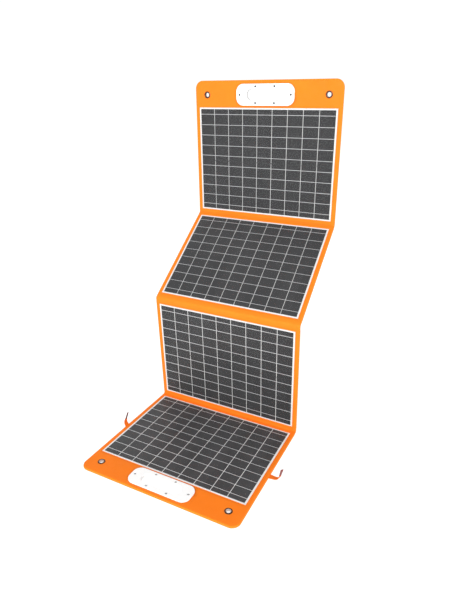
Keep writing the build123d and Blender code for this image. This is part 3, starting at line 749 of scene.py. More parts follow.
def leaf_distance(number, xy):
    """Distance outside a leaf's outline, negative inside it."""
    low, high, corners, _ = ENDS[number]
    return rectangle_distance(xy, low, high, HALF, corners)


def window_ring(outset, step=6):
    """Loop round the laminate, moved out by outset."""
    return ring(-WINDOW[1], WINDOW[1], -outset, WINDOW[0], step=step)


def window_distance(xy):
    """Distance outside the laminate, negative inside it."""
    return rectangle_distance(xy, -WINDOW[1], WINDOW[1], WINDOW[0])


def hem_distance(number, xy):
    """Distance inside the hemmed edges of a leaf: its sides and its flap, not its fold ends."""
    low, high, corners, _ = ENDS[number]
    low = low if corners[0] else -FAR
    high = high if corners[1] else FAR
    return -rectangle_distance(xy, low, high, HALF, corners)


def flap_middle(number):
    """Height up a leaf of its handle plate and eyelets."""
    return FLAP_SIDE[number] * HANDLE


def plate_distance(number, xy, half, corner):
    """Distance outside a plate or slot on a leaf's flap."""
    middle = flap_middle(number)
    return rectangle_distance(xy, middle - half[1], middle + half[1], half[0], (corner, corner))


def plate_ring(number, half, corner, inset):
    """Loop round a plate or slot on a leaf's flap."""
    middle = flap_middle(number)
    low, high = middle - half[1], middle + half[1]
    return ring(low, high, inset, half[0], (corner, corner), step=5, turns=8)


def eyelet_gap(number, xy):
    """Distance from the middle of the nearer eyelet of a leaf's flap."""
    return np.hypot(np.abs(xy[:, 0]) - EYELET_X, xy[:, 1] - flap_middle(number))


def front_height(number, xy):
    """Height of the front cloth over the back: stretched, sewn down and lightly puckered."""
    hem = hem_distance(number, xy)
    window = window_distance(xy)
    sewn = np.exp(-((hem - HEM_LINE) / 4) ** 2)
    height = SKIN_TOP + 0.14 * ripple(xy, 46, number) + 0.09 * sewn * ripple(xy, 7, number + 9)
    height += groove(hem - HEM_LINE, 0.6, 0.45) + groove(window - WINDOW_LINE, 0.55, 0.4)
    height -= 0.7 * np.clip(1 - window / 0.9, 0, 1) ** 2
    if number in FLAP_SIDE:
        gap = eyelet_gap(number, xy) - FLANGE
        height += groove(gap - 0.3, 1.4, 0.3)
        height += 0.12 * np.exp(-(((gap - 5) / 4) ** 2)) * ripple(xy, 6, number)
        plate = plate_distance(number, xy, PLATE_HALF, PLATE_CORNER)
        height += groove(plate - 0.2, 1.6, 0.28)
    return height


def edge_wear_and_plate_shadow(number, xy):
    """Rubbed share of the cloth, most along its hemmed edges. It is under zero in the shadow that
    is painted beside a handle plate."""
    hem = hem_distance(number, xy)
    wear_and_painted_light = np.clip(np.exp(-np.maximum(hem, 0) / 2.2), 0, 1)
    if number in FLAP_SIDE:
        plate = plate_distance(number, xy, PLATE_HALF, PLATE_CORNER)
        inward = (flap_middle(number) - xy[:, 1]) * FLAP_SIDE[number] > 0
        width, near, beyond = PLATE_SHADE
        wear_and_painted_light -= np.where(inward, near, beyond) * np.exp(-((plate / width) ** 2))
    return wear_and_painted_light


def front_cloth(number):
    """Front cloth of a leaf: framed round the laminate and turned down over its sides."""
    insets = (EDGE_ROUND, 3.3, 3.6, HEM_LINE, 4.3, 4.8, 5.8)
    outsets = (0.25, 0.6, 0.9, 1.9, 2.2, WINDOW_LINE, 2.8, 3.2)
    loops = [leaf_ring(number, inset) for inset in insets]
    loops += [window_ring(outset) for outset in outsets]
    if number in FLAP_SIDE:
        middle = flap_middle(number)
        loops += [plate_ring(number, PLATE_HALF, PLATE_CORNER, -k) for k in (0.4, 1.6, 3.2)]
        radii = [FLANGE + k for k in (0.3, 1.6, 3.5, 6.5)] + [EYELET_HOLE]
        loops += [circle(side * EYELET_X, middle, radius) for side in (-1, 1) for radius in radii]
        loops.append(plate_ring(number, SLOT_HALF, SLOT_CORNER, -SLOT_RECESS))

    def inside(xy):
        keep = (leaf_distance(number, xy) < 0) & (window_distance(xy) > 0.2)
        if number in FLAP_SIDE:
            keep &= plate_distance(number, xy, SLOT_HALF, SLOT_CORNER) > SLOT_RECESS
            keep &= eyelet_gap(number, xy) > EYELET_HOLE * 0.995
        return keep

    flat, faces, numbers = fill(loops, inside, 7, 3.2)
    shell = Shell(flat, front_height(number, flat), faces, edge_wear_and_plate_shadow(number, flat))
    drops = []
    for angle in np.radians(np.linspace(0, 90, 7)[1:]):
        inset, drop = 1 - math.sin(angle), 1 - math.cos(angle)
        drops.append((EDGE_ROUND * inset, EDGE_ROUND * drop, EDGE_ROUND * angle))
    run = drops[-1][2]
    side = SKIN_TOP - EDGE_ROUND - SEAM_HEIGHT
    drops += [(0.0, EDGE_ROUND + side / 2, run + side / 2), (0.0, EDGE_ROUND + side, run + side)]
    drops += [(0.35, EDGE_ROUND + side + 0.4, run + side + 0.5)]
    drops += [(1.0, EDGE_ROUND + side + 0.55, run + side + 1.2)]
    rim = numbers[0]
    rim_height = shell.points[rim, 2]
    for inset, drop, length in drops:
        loop = leaf_ring(number, inset)
        ripples = 0.12 * ripple(loop, 16, number + drop) * min(1, drop)
        height = rim_height - drop + ripples * (drop < EDGE_ROUND + side)
        mark = 1.0 if drop < 3.2 else 0.35
        following = shell.grow(loop, height, leaf_ring(number, EDGE_ROUND - length), mark)
        shell.faces += bridge(following, rim)
        rim = following
    loop = window_ring(0.25)
    tucked = shell.grow(loop, SKIN_TOP - 0.95, loop, 0.0)
    shell.faces += bridge(numbers[len(insets)], tucked)
    piece = shell.build(f"leaf_{number}_front_cloth", LEAF[number])
    wear(thicken(piece), CLOTH_FRONT)
    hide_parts(f"leaf_{number}_front_skin")
    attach(piece, f"leaf_{number}")
    low, high = ENDS[number][:2]
    turned = EDGE_ROUND * math.pi / 2 - EDGE_ROUND + side + 1.2
    width, length = 2 * (HALF + turned), high - low + 2 * turned
    hem_stitches(number, "front", front_height)


def hem_stitches(number, place, height_of):
    """Rows of stitches along the hem and round the laminate."""
    low, high, corners, _ = ENDS[number]
    loop = leaf_ring(number, HEM_LINE, 3)
    ends = [end for end, corner in ((low, corners[0]), (high, corners[1])) if not corner]
    if len(ends) == 2:
        rows = np.linspace(low + 1, high - 1, 60)
        runs = [np.array([(side * (HALF - HEM_LINE), y) for y in rows]) for side in (-1, 1)]
    else:
        keep = np.abs(loop[:, 1] - ends[0]) > 1.2
        start = int(np.argmin(keep)) if not keep.all() else 0
        turned = np.roll(np.arange(len(loop)), -start)
        runs = [loop[[k for k in turned if keep[k]]]]
    if place == "front":
        around = window_ring(WINDOW_LINE, 3)
        runs.append(np.concatenate((around, around[:1])))
    way = 1 if place == "front" else -1
    lifted = [np.column_stack((run, height_of(number, run) + 0.1 * way)) for run in runs]
    name, body = f"leaf_{number}_{place}_stitches", f"leaf_{number}"
    stitches(name, lifted, (0, 0, way), LEAF[number], body)


def back_height(number, xy):
    """Height of the back cloth's outside, sewn into the leaf along its hem."""
    hem = hem_distance(number, xy)
    height = 0.1 + 0.1 * ripple(xy, 60, number + 20) - groove(hem - HEM_LINE, 0.6, 0.35)
    return np.maximum(height, 0.02)


def back_cloth(number):
    """Back cloth of a leaf, round the backing plate and the eyelet washers."""
    loops = [leaf_ring(number, inset) for inset in (1.2, 3.2, 3.6, HEM_LINE, 4.2, 4.8)]
    if number in FLAP_SIDE:
        middle = flap_middle(number)
        loops.append(plate_ring(number, PLATE_HALF, PLATE_CORNER, -0.25))
        loops += [circle(side * EYELET_X, middle, FLANGE) for side in (-1, 1)]

    def inside(xy):
        keep = leaf_distance(number, xy) < 0
        if number in FLAP_SIDE:
            keep &= plate_distance(number, xy, PLATE_HALF, PLATE_CORNER) > 0.2
            keep &= eyelet_gap(number, xy) > FLANGE * 0.995
        return keep

    flat, faces, numbers = fill(loops, inside, 14, 5)
    faces = [tuple(reversed(face)) for face in faces]
    shell = Shell(flat, back_height(number, flat), faces, edge_wear_and_plate_shadow(number, flat))
    rim = numbers[0]
    for inset, rise in ((0.75, 0.1), (0.35, 0.35), (0.15, 0.75), (0.3, 1.15), (0.9, 1.25)):
        uvs = leaf_ring(number, 0.9 - rise)
        following = shell.grow(leaf_ring(number, inset), rise, uvs, 0.8)
        shell.faces += bridge(rim, following)
        rim = following
    piece = shell.build(f"leaf_{number}_back_cloth", LEAF[number])
    wear(thicken(piece, 0.5), CLOTH_BACK)
    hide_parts(f"leaf_{number}_back_skin")
    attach(piece, f"leaf_{number}")
    if number != 1:  # the back of leaf 1 lies on the floor
        hem_stitches(number, "back", back_height)


def clear_sheet(number):
    """Clear sheet over the cells, with soft edges and a faint sag at about the ribbons' pitch."""
    top, low_face = sheet_high.z, sheet_low.z + 0.02
    rounds = ((0.0, low_face), (0.0, top - 0.12), (0.04, top - 0.04), (0.12, top), (1.5, top))
    loops = [window_ring(-inset, 12) for inset, _ in rounds]
    flat, faces, numbers = fill([loops[-1]], lambda xy: window_distance(xy) < -1.4, 15.5, 6)
    wave = 0.03 * np.cos(flat[:, 1] * 2 * math.pi / SAG_PITCH) + 0.03 * ripple(flat, 70, number)
    still = np.exp(-(window_distance(flat) / 6) ** 2)
    shell = Shell(flat, top + wave * (1 - still), faces, np.zeros(len(flat)))
    rim = numbers[0]
    for loop, (_, height) in list(zip(loops, rounds))[-2::-1]:
        following = shell.grow(loop, height, loop, 0.0)
        shell.faces += bridge(following, rim)
        rim = following
    shell.faces.append(tuple(reversed(rim)))
    piece = build(f"leaf_{number}_clear_film", shell.points, shell.faces, LEAF[number])
    wear(piece, clear_film(number))
    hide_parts(f"leaf_{number}_front_sheet")
    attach(piece, f"leaf_{number}")


for leaf in LEAF:
    front_cloth(leaf)
    back_cloth(leaf)
    clear_sheet(leaf)
    wear(NODES[f"leaf_{leaf}_cells"], silicon(leaf))
    wear(NODES[f"leaf_{leaf}_ribbons"], tinned(leaf))
    wear(NODES[f"leaf_{leaf}_backsheet"], white_film(leaf))
    wear(NODES[f"leaf_{leaf}_board"], BOARD)


# --- Folds ------------------------------------------------------------------------------------

# height is that of the axis over the leaves' backs, and reach is from it along a leaf to its cloth
Fold = namedtuple("Fold", "joint below above height reach")
FOLDS = {
    "12": Fold("fold_12", 1, 2, 9.0, 6.0),
    "23": Fold("fold_23", 2, 3, -3.0, 10.0),
    "34": Fold("fold_34", 3, 4, 9.0, 6.0),
}
LAP = 1.4  # of a fold web over the front cloth that it is sewn to
CREASE = 1.2  # from the axis to the cloth in a valley
VALLEY_SHADE = {"12": 0.02, "34": 0.25}  # depth of the shadow painted in a valley fold
CREASE_SHADE = (0.4, 0.09)  # depth and width of the painted shade along its crease
RIDGE_LIGHT = 0.8  # strength of the highlight painted along the mountain fold


def fold_side(name, face):
    """Points from the leaf below to the leaf above, in millimetres in the row frame's YZ, along
    the face or the back of a fold web."""
    fold = FOLDS[name]
    axis = np.array(JOINTS[fold.joint]["pos_m"]) / MM
    ups = [np.array(up_leaf(LEANS[leaf])) for leaf in (fold.below, fold.above)]
    outs = [np.array(out_of_face(LEANS[leaf])) for leaf in (fold.below, fold.above)]
    height = (SKIN_TOP if face else 0) - fold.height
    lap = LAP if face else 0.0
    lift = 0.22 if face else 0.0
    bisector = (outs[0] + outs[1]) / np.linalg.norm(outs[0] + outs[1])
    outside = (height > 0) if fold.height < 0 else (height < -CREASE * 3)
    shares = (1.0, 0.93, 0.8, 0.62, 0.45, 0.3, 0.15)
    swell = (-lift, 0.8, 0.9, 0.75, 0.45, 0.1, -0.1)

    def run(up, out, way):
        made = []
        for share, rise in zip(shares, swell):
            bulge = rise * (0.45 if face else 0.0) if not outside else 0.0
            level = height + (lift if share > 0.5 else lift * share * 2) + bulge
            if share == 1.0:
                level = height
            made.append(axis + up * way * (fold.reach + lap) * share + out * level)
        return made

    first = run(ups[0], outs[0], -1)
    last = run(ups[1], outs[1], 1)[::-1]
    if outside:
        arc = []
        for share in np.linspace(0, 1, 13):
            way = outs[0] * (1 - share) + outs[1] * share
            dimple = 0.35 * math.exp(-(((share - 0.5) / 0.12) ** 2)) if not face else 0.0
            way = way / np.linalg.norm(way)
            size = abs(height) - dimple
            arc.append(axis + way * size * math.copysign(1, height))
        return np.array(first + arc + last)
    crease = axis + bisector * CREASE * math.copysign(1, height)
    near = [crease * share + first[-1] * (1 - share) for share in (0.3, 0.6, 0.82, 0.95)]
    far = [crease * share + last[0] * (1 - share) for share in (0.95, 0.82, 0.6, 0.3)]
    across = last[0] - first[-1]
    spread = np.linspace(-0.35, 0.35, 5)[:, None] * across / np.linalg.norm(across)
    return np.array(first + near + list(crease + spread) + far + last)


def web_faces(columns, count):
    """Faces of a web, whose columns of count points go round its two layers. Its ends are closed
    by strips of quads."""
    faces = []
    last = (columns - 1) * count
    for a in range(0, last, count):
        for k in range(count):
            n = (k + 1) % count
            faces.append((a + n, a + k, a + count + k, a + count + n))
    for k in range(count // 2 - 1):
        j = count - 1 - k
        faces.append((k, k + 1, j - 1, j))
        faces.append((last + k + 1, last + k, last + j, last + j - 1))
    return faces


def fold_web(name):
    """Cloth that joins two leaves: a front and a back layer, pinched into the side hems."""
    valley = FOLDS[name].height > 0
    face, back = fold_side(name, True), fold_side(name, False)
    stations = len(face)
    middle = (face + back) / 2
    side_columns = np.array((0.0, 0.25, 0.7, 1.4, 2.4, 3.9, 6))
    inner = np.arange(-HALF + 11, HALF - 10, 5.6)
    columns = np.concatenate((-HALF + side_columns, inner, HALF - side_columns[::-1]))
    along = np.concatenate(([0], np.cumsum(np.linalg.norm(np.diff(face, axis=0), axis=1))))
    seed = int(name)
    points, uvs, marks = [], [], []
    for x in columns:
        edge = HALF - abs(x)
        full = 1 - 0.72 * max(0.0, 1 - edge / EDGE_ROUND) ** 2.2
        line = 1 - 0.1 * math.exp(-(((edge - HEM_LINE) / 0.6) ** 2))
        for layer, side in ((face, 1), (back, -1)):
            order = range(stations) if side == 1 else range(stations - 1, -1, -1)
            for k in order:
                free = max(0.0, math.sin(math.pi * k / (stations - 1))) ** 1.5
                spot = middle[k] + (layer[k] - middle[k]) * full * line
                way = layer[k] - middle[k]
                way = way / max(np.linalg.norm(way), 1e-6)
                pucker = noise.noise(Vector((x / 22, along[k] / 6, seed))) * 0.5
                pucker += noise.noise(Vector((x / 7, along[k] / 9, seed + 5))) * 0.16
                if side == 1 or not valley:
                    spot = spot + way * pucker * free * min(1, edge / 6)
                points.append((x, spot[1], spot[2]))
                uvs.append((x, along[k] + seed * 50 + side * 400))
                # wear along the side hems, with painted shade in a valley and a painted highlight
                # along the mountain fold
                mark = math.exp(-edge / 2.2)
                if valley and side == 1:
                    from_crease = abs(k - (stations - 1) / 2) / stations
                    mark -= VALLEY_SHADE[name] * free
                    mark -= CREASE_SHADE[0] * math.exp(-((from_crease / CREASE_SHADE[1]) ** 2))
                elif side == 1:
                    mark += RIDGE_LIGHT * free
                marks.append(mark)
    faces = web_faces(len(columns), 2 * stations)
    piece = build(f"fold_{name}_cloth", points, faces, None, uvs, marks)
    wear(piece, CLOTH_FOLD)
    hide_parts(f"fold_web_{name}")
    bend(piece)


def bend(piece):
    """Bakes a piece's placement into its mesh."""
    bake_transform(piece)


def jumpers(name):
    """The two flat leads inside a fold web."""
    fold = FOLDS[name]
    axis = np.array(JOINTS[fold.joint]["pos_m"]) / MM
    outside = fold_side(name, fold.height < 0)
    inward = axis - outside
    gap = (2.9 if fold.height > 0 else 3.1) / np.linalg.norm(inward, axis=1)
    path = (outside + inward * gap[:, None])[3:-3]
    for side, x in (("left", -150), ("right", 150)):
        path[:, 0] = x
        lead = ribbon(f"lead_{name}_{side}", path, (1, 0, 0), 7, 1.0)
        wear(lead, LEAD)
        bend(lead)
        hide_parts(f"jumper_leads_{name}")


for fold_name in FOLDS:
    fold_web(fold_name)
    jumpers(fold_name)


# --- Handle plates, screws and eyelets --------------------------------------------------------

SCREW_SPOTS = ((-81, 0), (-30, 23), (30, 23), (81, 0), (30, -23), (-30, -23))
SCREW_HEAD, SCREW_HEIGHT, SCREW_SHANK = 2.9, 1.3, 1.5  # head's radius and height, shank's radius
PLATE_RISE, PLATE_SINK = 3.2, 1.6  # of a handle plate over the cloth, and of its counterbores
SCREW_TOP = SKIN_TOP + PLATE_RISE - PLATE_SINK + SCREW_HEIGHT
SCREW_LOW = 0.6
SCREW_RINGS = (0.25, 0.5, 0.75, 1.0, 1.25, 1.5, 1.8, 2.1, 2.5, 2.75, SCREW_HEAD)
SCREW_CROWN = 0.35  # fall of the head's top from its middle to its edge
RECESS = (0.42, 1.75, 0.95)  # half-width, reach and depth of the cross recess


def screws(number, place):
    """Pan-head screws with a cross recess."""
    middle = flap_middle(number)
    sides = 40
    under = SCREW_TOP - SCREW_HEIGHT
    profile = [(r, SCREW_TOP - SCREW_CROWN * (r / SCREW_HEAD) ** 3) for r in SCREW_RINGS]
    profile += [(SCREW_HEAD, under + 0.1), (SCREW_SHANK, under), (SCREW_SHANK, SCREW_LOW)]
    half_arm, reach, depth = RECESS
    points, faces = [], []
    for spot, (cx, cy) in enumerate(SCREW_SPOTS):
        turn = 0.5 + 1.7 * spot
        first = len(points)
        points.append((cx, middle + cy, SCREW_TOP - 1.0))
        for radius, height in profile:
            for k in range(sides):
                angle = 2 * math.pi * k / sides
                x, y = radius * math.cos(angle + turn), radius * math.sin(angle + turn)
                ax, ay = abs(radius * math.cos(angle)), abs(radius * math.sin(angle))
                sunk = min(ax, ay) < half_arm and radius < reach and height > under + 0.1
                points.append((cx + x, middle + cy + y, height - (depth if sunk else 0)))
        rim = first + 1
        last = rim + (len(profile) - 1) * sides
        faces += [(first, rim + k, rim + (k + 1) % sides) for k in range(sides)]
        for a in range(rim, last, sides):
            for k in range(sides):
                n = (k + 1) % sides
                faces.append((a + k, a + sides + k, a + sides + n, a + n))
        faces.append(tuple(last + k for k in reversed(range(sides))))
    piece = build(f"{place}_cross_screws", points, faces, LEAF[number])
    wear(piece, STEEL[number])
    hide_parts(f"{place}_handle_screws")
    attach(piece, f"leaf_{number}")


for number, place in ((1, "front"), (4, "top")):
    screws(number, place)
    wear(NODES[f"{place}_handle_plate"], HANDLE_PLASTIC[number])
    wear(NODES[f"{place}_backing_plate"], HANDLE_PLASTIC[number])
    wear(NODES[f"{place}_eyelets"], EYELET_METAL[number])
    wear(NODES[f"{place}_eyelet_washers"], EYELET_METAL[number])


# --- Closure tabs -----------------------------------------------------------------------------

TAB_Y = {"left": -28, "right": -36}
TAB_ROOT = (HALF + 1.0, 2.6)  # x and height at the side seam
TAB_STRAIGHT = {"left": 6, "right": 14}  # length before the bend
TAB_BEND = 14  # radius of the bend
TAB_TURN = {"left": 53, "right": 78}  # degrees round the bend
TAB_RUN = 2  # length after the bend
TAB_THICKNESS = 1.6
TAB_WIDTH = 17
TAB_STEPS = 14  # round the bend
TAB_PITCH = {"left": 49, "right": 0}  # degrees above level at the side seam
TAB_END = 22
TAB_END_HALF = 4.5
TAB_END_THICKNESS = 1.2
TAB_END_LAP = 5  # of the hook strip under the webbing
TAB_SLANT = {"left": 0.24, "right": 0.0}  # along the seam for each millimetre of rise
TAB_TWIST = {"left": (0, -8), "right": (-14, -38)}  # degrees, at the ends of the hook strip
HOOK_PITCH = 1.25
# rise from the strip, shift along it and half-width, from a hook's foot to its tip
HOOK_SHAPE = ((0, 0, 0.24), (0.55, 0.05, 0.2), (0.8, 0.3, 0.16), (0.62, 0.55, 0.1))
TAB_TAPER = 0.68  # share of the width that is left at the tab's far end


def tab(side):
    """Webbing tab that comes out of the side seam and curls up to its thin hook strip."""
    way = -1 if side == "left" else 1
    spot = np.array(TAB_ROOT)
    line = [spot - (4.0, 0.0), spot - (1.6, 0.0), spot]
    turned = math.radians(TAB_PITCH[side])
    turn = math.radians(TAB_TURN[side])
    parts = ((0.0, TAB_STRAIGHT[side], 4), (turn, turn * TAB_BEND, TAB_STEPS), (0.0, TAB_RUN, 2))
    for part, length, steps in parts:
        for _ in range(steps):
            turned += part / steps / 2
            spot = spot + np.array((math.cos(turned), math.sin(turned))) * length / steps
            turned += part / steps / 2
            line.append(spot)
    slant = TAB_SLANT[side]
    rises = [slant * max(0.0, z - TAB_ROOT[1]) for _, z in line]
    path = np.array([(way * x, TAB_Y[side] + rise, z) for (x, z), rise in zip(line, rises)])
    twist = [way * math.radians(degrees) for degrees in TAB_TWIST[side]]
    shape = ((0, 1, 0), TAB_WIDTH / 2, TAB_THICKNESS)
    strap = ribbon(f"{side}_tab_webbing", path, *shape, 11, TAB_TAPER, (0.0, twist[0]))
    wear(strap, WEBBING)
    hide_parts(f"{side}_tab_strap")
    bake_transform(strap)
    along = np.array((math.cos(turned), math.sin(turned)))
    start = np.array(line[-1]) - along * TAB_END_LAP
    ends = [start + along * k for k in np.linspace(0, TAB_END + TAB_END_LAP, 14)]
    path = np.array([(way * x, TAB_Y[side] + slant * (z - TAB_ROOT[1]), z) for x, z in ends])
    shape = ((0, 1, 0), TAB_END_HALF, TAB_END_THICKNESS)
    strip = ribbon(f"{side}_tab_hook_strip", path, *shape, twist=twist)
    wear(strip, HOOKS)
    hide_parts(f"{side}_tab_end")
    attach(strip, f"{side}_tab")
    fringe(side, path, way, twist)


def fringe(side, path, way, twist):
    """The little hooks of the strip, in rows on its inner face."""
    along = path[-1] - path[0]
    length = np.linalg.norm(along)
    along = along / length
    points, faces = [], []
    for row in np.arange(TAB_END_LAP + 2, length - 1, HOOK_PITCH):
        turn = twist[0] + (twist[1] - twist[0]) * row / length
        wide = turned_about(np.array((0.0, 1.0, 0.0)), along, turn)
        normal = way * np.cross(along, wide)
        for aside in np.arange(-3.7, 3.8, HOOK_PITCH):
            base = path[0] + along * row + wide * aside + normal * 0.55
            first = len(points)
            for rise, shift, size in HOOK_SHAPE:
                middle = base + normal * rise + along * shift
                for dx, dy in ((-1, -1), (1, -1), (1, 1), (-1, 1)):
                    points.append(middle + along * dx * size + np.array((0, dy * size, 0)))
            faces += tube_faces(first, len(HOOK_SHAPE), 4)
    piece = build(f"{side}_tab_hooks", points, faces)
    wear(piece, HOOKS)
    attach(piece, f"{side}_tab")


for side in TAB_PITCH:
    tab(side)


# --- Stand behind leaf 2 ----------------------------------------------------------------------

STAND_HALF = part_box("stand_sleeve")[1].x / MM
STAND_START = 4  # of the sleeve, down from the pivot
STAND_CORNER = 8
SLEEVE = 2.0  # from its middle to its outside
PIVOT_UP = 150  # of the pivot, up leaf 2 from its middle
STAY_DROP = 200  # from the pivot to the stays
STAY_X = 80


def stand_end():
    """Distance from the pivot to the sleeve's lower end."""
    inverse = STAND.inverted()
    mesh = NODES["stand_sleeve"].data
    return max((inverse @ vertex.co).y for vertex in mesh.vertices) / MM


def stand_sleeve():
    """Cloth sleeve round the stand's board, sewn round its edge."""
    end = stand_end()

    def outer(inset):
        return ring(STAND_START, end, inset, STAND_HALF, (STAND_CORNER, 0), (1, 0.3), step=7)

    def distance(xy, low_end=end):
        return rectangle_distance(xy, STAND_START, low_end, STAND_HALF, (STAND_CORNER, 0))

    def height_of(xy):
        sewn = groove(-distance(xy, end + FAR) - HEM_LINE, 0.6, 0.4)
        return SLEEVE - 0.1 + 0.22 * ripple(xy, 38, 31) + sewn

    insets = (1.5, 3.1, 3.5, HEM_LINE, 4.3, 4.8)
    loops = [outer(inset) for inset in insets]
    flat, faces, numbers = fill(loops, lambda xy: distance(xy) < 0, 12, 5)
    height = height_of(flat)
    faces += [tuple(k + len(flat) for k in reversed(face)) for face in faces]
    both = np.concatenate((flat, flat))
    uvs = np.concatenate((flat, flat + (0, FAR)))
    marks = np.exp(distance(both) / 2.0)
    shell = Shell(both, np.concatenate((height, -height)), faces, marks, uvs)
    top, under = numbers[0], [k + len(flat) for k in numbers[0]]
    for inset, share in ((0.7, 0.86), (0.25, 0.55), (0.0, 0.0)):
        loop = outer(inset)
        rise = share * (SLEEVE - 0.15)
        upper = shell.grow(loop, rise, loop, 1.0)
        lower = shell.grow(loop, -rise, loop, 1.0) if share else upper
        shell.faces += bridge(upper, top) + bridge(under, lower)
        top, under = upper, lower
    piece = shell.build("stand_cloth_sleeve", STAND)
    wear(piece, CLOTH_BACK)
    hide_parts("stand_sleeve")
    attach(piece, "stand")
    across = STAND_HALF - HEM_LINE
    top_line = STAND_START + HEM_LINE
    run = np.array(
        [(across, y) for y in np.linspace(end - 2, top_line + 5, 60)]
        + [(x, top_line) for x in np.linspace(across - 5, 5 - across, 60)]
        + [(-across, y) for y in np.linspace(top_line + 5, end - 2, 60)]
    )
    for place, way in (("rear", 1), ("front", -1)):
        lifted = np.column_stack((run, way * (height_of(run) + 0.1)))
        stitches(f"stand_{place}_stitches", [lifted], (0, 0, way), STAND, "stand")
    wear(NODES["stand_board"], BOARD)
    wear(NODES["stand_foot"], RUBBER)


def on_plane(matrix, x, y, z):
    """A point given on a leaf or the stand in millimetres, in the row frame in millimetres."""
    return np.array(matrix @ Vector((x * MM, y * MM, z * MM))) / MM


def stand_hinge():
    """Cloth hinge from the back of leaf 2 over the sleeve's top, and its two rows of stitches."""
    on_leaf = ((166, -0.5), (156, -0.5), (151, -0.6), (148.5, -2.4))
    on_sleeve = ((2.4, 2.3), (4.5, 2.5), (12, 2.4), (20, 2.4))
    path = [on_plane(LEAF[2], 0, y, z) for y, z in on_leaf]
    path += [on_plane(STAND, 0, y, z) for y, z in on_sleeve]
    piece = ribbon("stand_hinge_cloth", smooth_path(path, 3), (1, 0, 0), 100, 0.8, columns=41)
    wear(piece, CLOTH_BACK)
    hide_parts("stand_hinge_web", "stand_hinge_patch")
    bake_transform(piece)
    for name, matrix, body, y, z, normal in (
        ("leaf", LEAF[2], "leaf_2", 162, -1.0, (0, 0, -1)),
        ("sleeve", STAND, "stand", 16, 2.58, (0, 0, 1)),
    ):
        rows = [[(x, y + k, z) for x in np.linspace(-97, 97, 40)] for k in (-1.6, 1.6)]
        stitches(f"stand_hinge_{name}_stitches", rows, normal, matrix, body)


def stand_stays():
    """Two webbing stays that stop the stand's swing, sewn down flat at both ends."""
    low = PIVOT_UP - STAY_DROP
    on_leaf = ((22, -0.8), (6, -0.8), (1, -1.4), (-5, -14))
    on_stand = ((5, -17), (-1, -3.6), (-6, -2.9), (-22, -2.9))
    for side, x in (("left", -STAY_X), ("right", STAY_X)):
        path = [on_plane(LEAF[2], x, low + y, z) for y, z in on_leaf]
        path += [on_plane(STAND, x, STAY_DROP + y, z) for y, z in on_stand]
        piece = ribbon(f"stand_stay_{side}", smooth_path(path, 4), (1, 0, 0), 12.5, 1.2, columns=9)
        wear(piece, STAY)
        if x < 0:
            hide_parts("stand_stays")
        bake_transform(piece)


stand_sleeve()
stand_hinge()
stand_stays()


# --- Controller and its pocket behind leaf 4 --------------------------------------------------

POCKET_HALF = 110
POCKET_LOW, POCKET_HIGH = -95, 55
POCKET_CORNER = 12
POCKET_DEPTH = 24.6
POCKET_FLANGE = 5
BOX_SPAN = (-100, 20, -90, -14)  # of the controller, on leaf 4
TAPE_WIDTH = 11
TAPE_STAND = 1.35  # of its middle off the pocket cloth's inside


def pocket_edge(y):
    """Half-width of the pocket at a height, with its round lower corners."""
    drop = max(0.0, POCKET_LOW + POCKET_CORNER - y)
    return POCKET_HALF - POCKET_CORNER + math.sqrt(max(POCKET_CORNER**2 - drop**2, 0.0))


def pocket_depth(x, y):
    """How far the pocket stands off the leaf: tight over the controller, sagging beside it."""
    gap = -rectangle_distance(
        np.array([(x, y)]), POCKET_LOW, POCKET_HIGH + FAR, POCKET_HALF, (POCKET_CORNER, 0)
    )[0]
    gap = max(gap, 0.0)
    wall = (1 - max(0.0, 1 - gap / 11) ** 2.6) ** (1 / 2.6)
    slack = 20.5 + 1.3 * noise.noise(Vector((x / 34, y / 60, 3.0)))
    left, right, low, high = BOX_SPAN
    over = math.hypot(max(left - x, x - right, 0), max(low - y, y - high, 0))
    tight = math.exp(-((over / 16) ** 2))
    depth = slack + (POCKET_DEPTH - slack) * tight
    mouth = math.exp(-(((POCKET_HIGH - y) / 16) ** 2))
    gather = 0.45 * math.sin(x * 2 * math.pi / 8.5 + 2 * math.sin(x / 31)) * mouth
    crease = 0.5 * noise.noise(Vector((x / 11, y / 26, 8.0))) * (1 - tight)
    return wall * (depth - 2.2 * mouth + gather + crease)


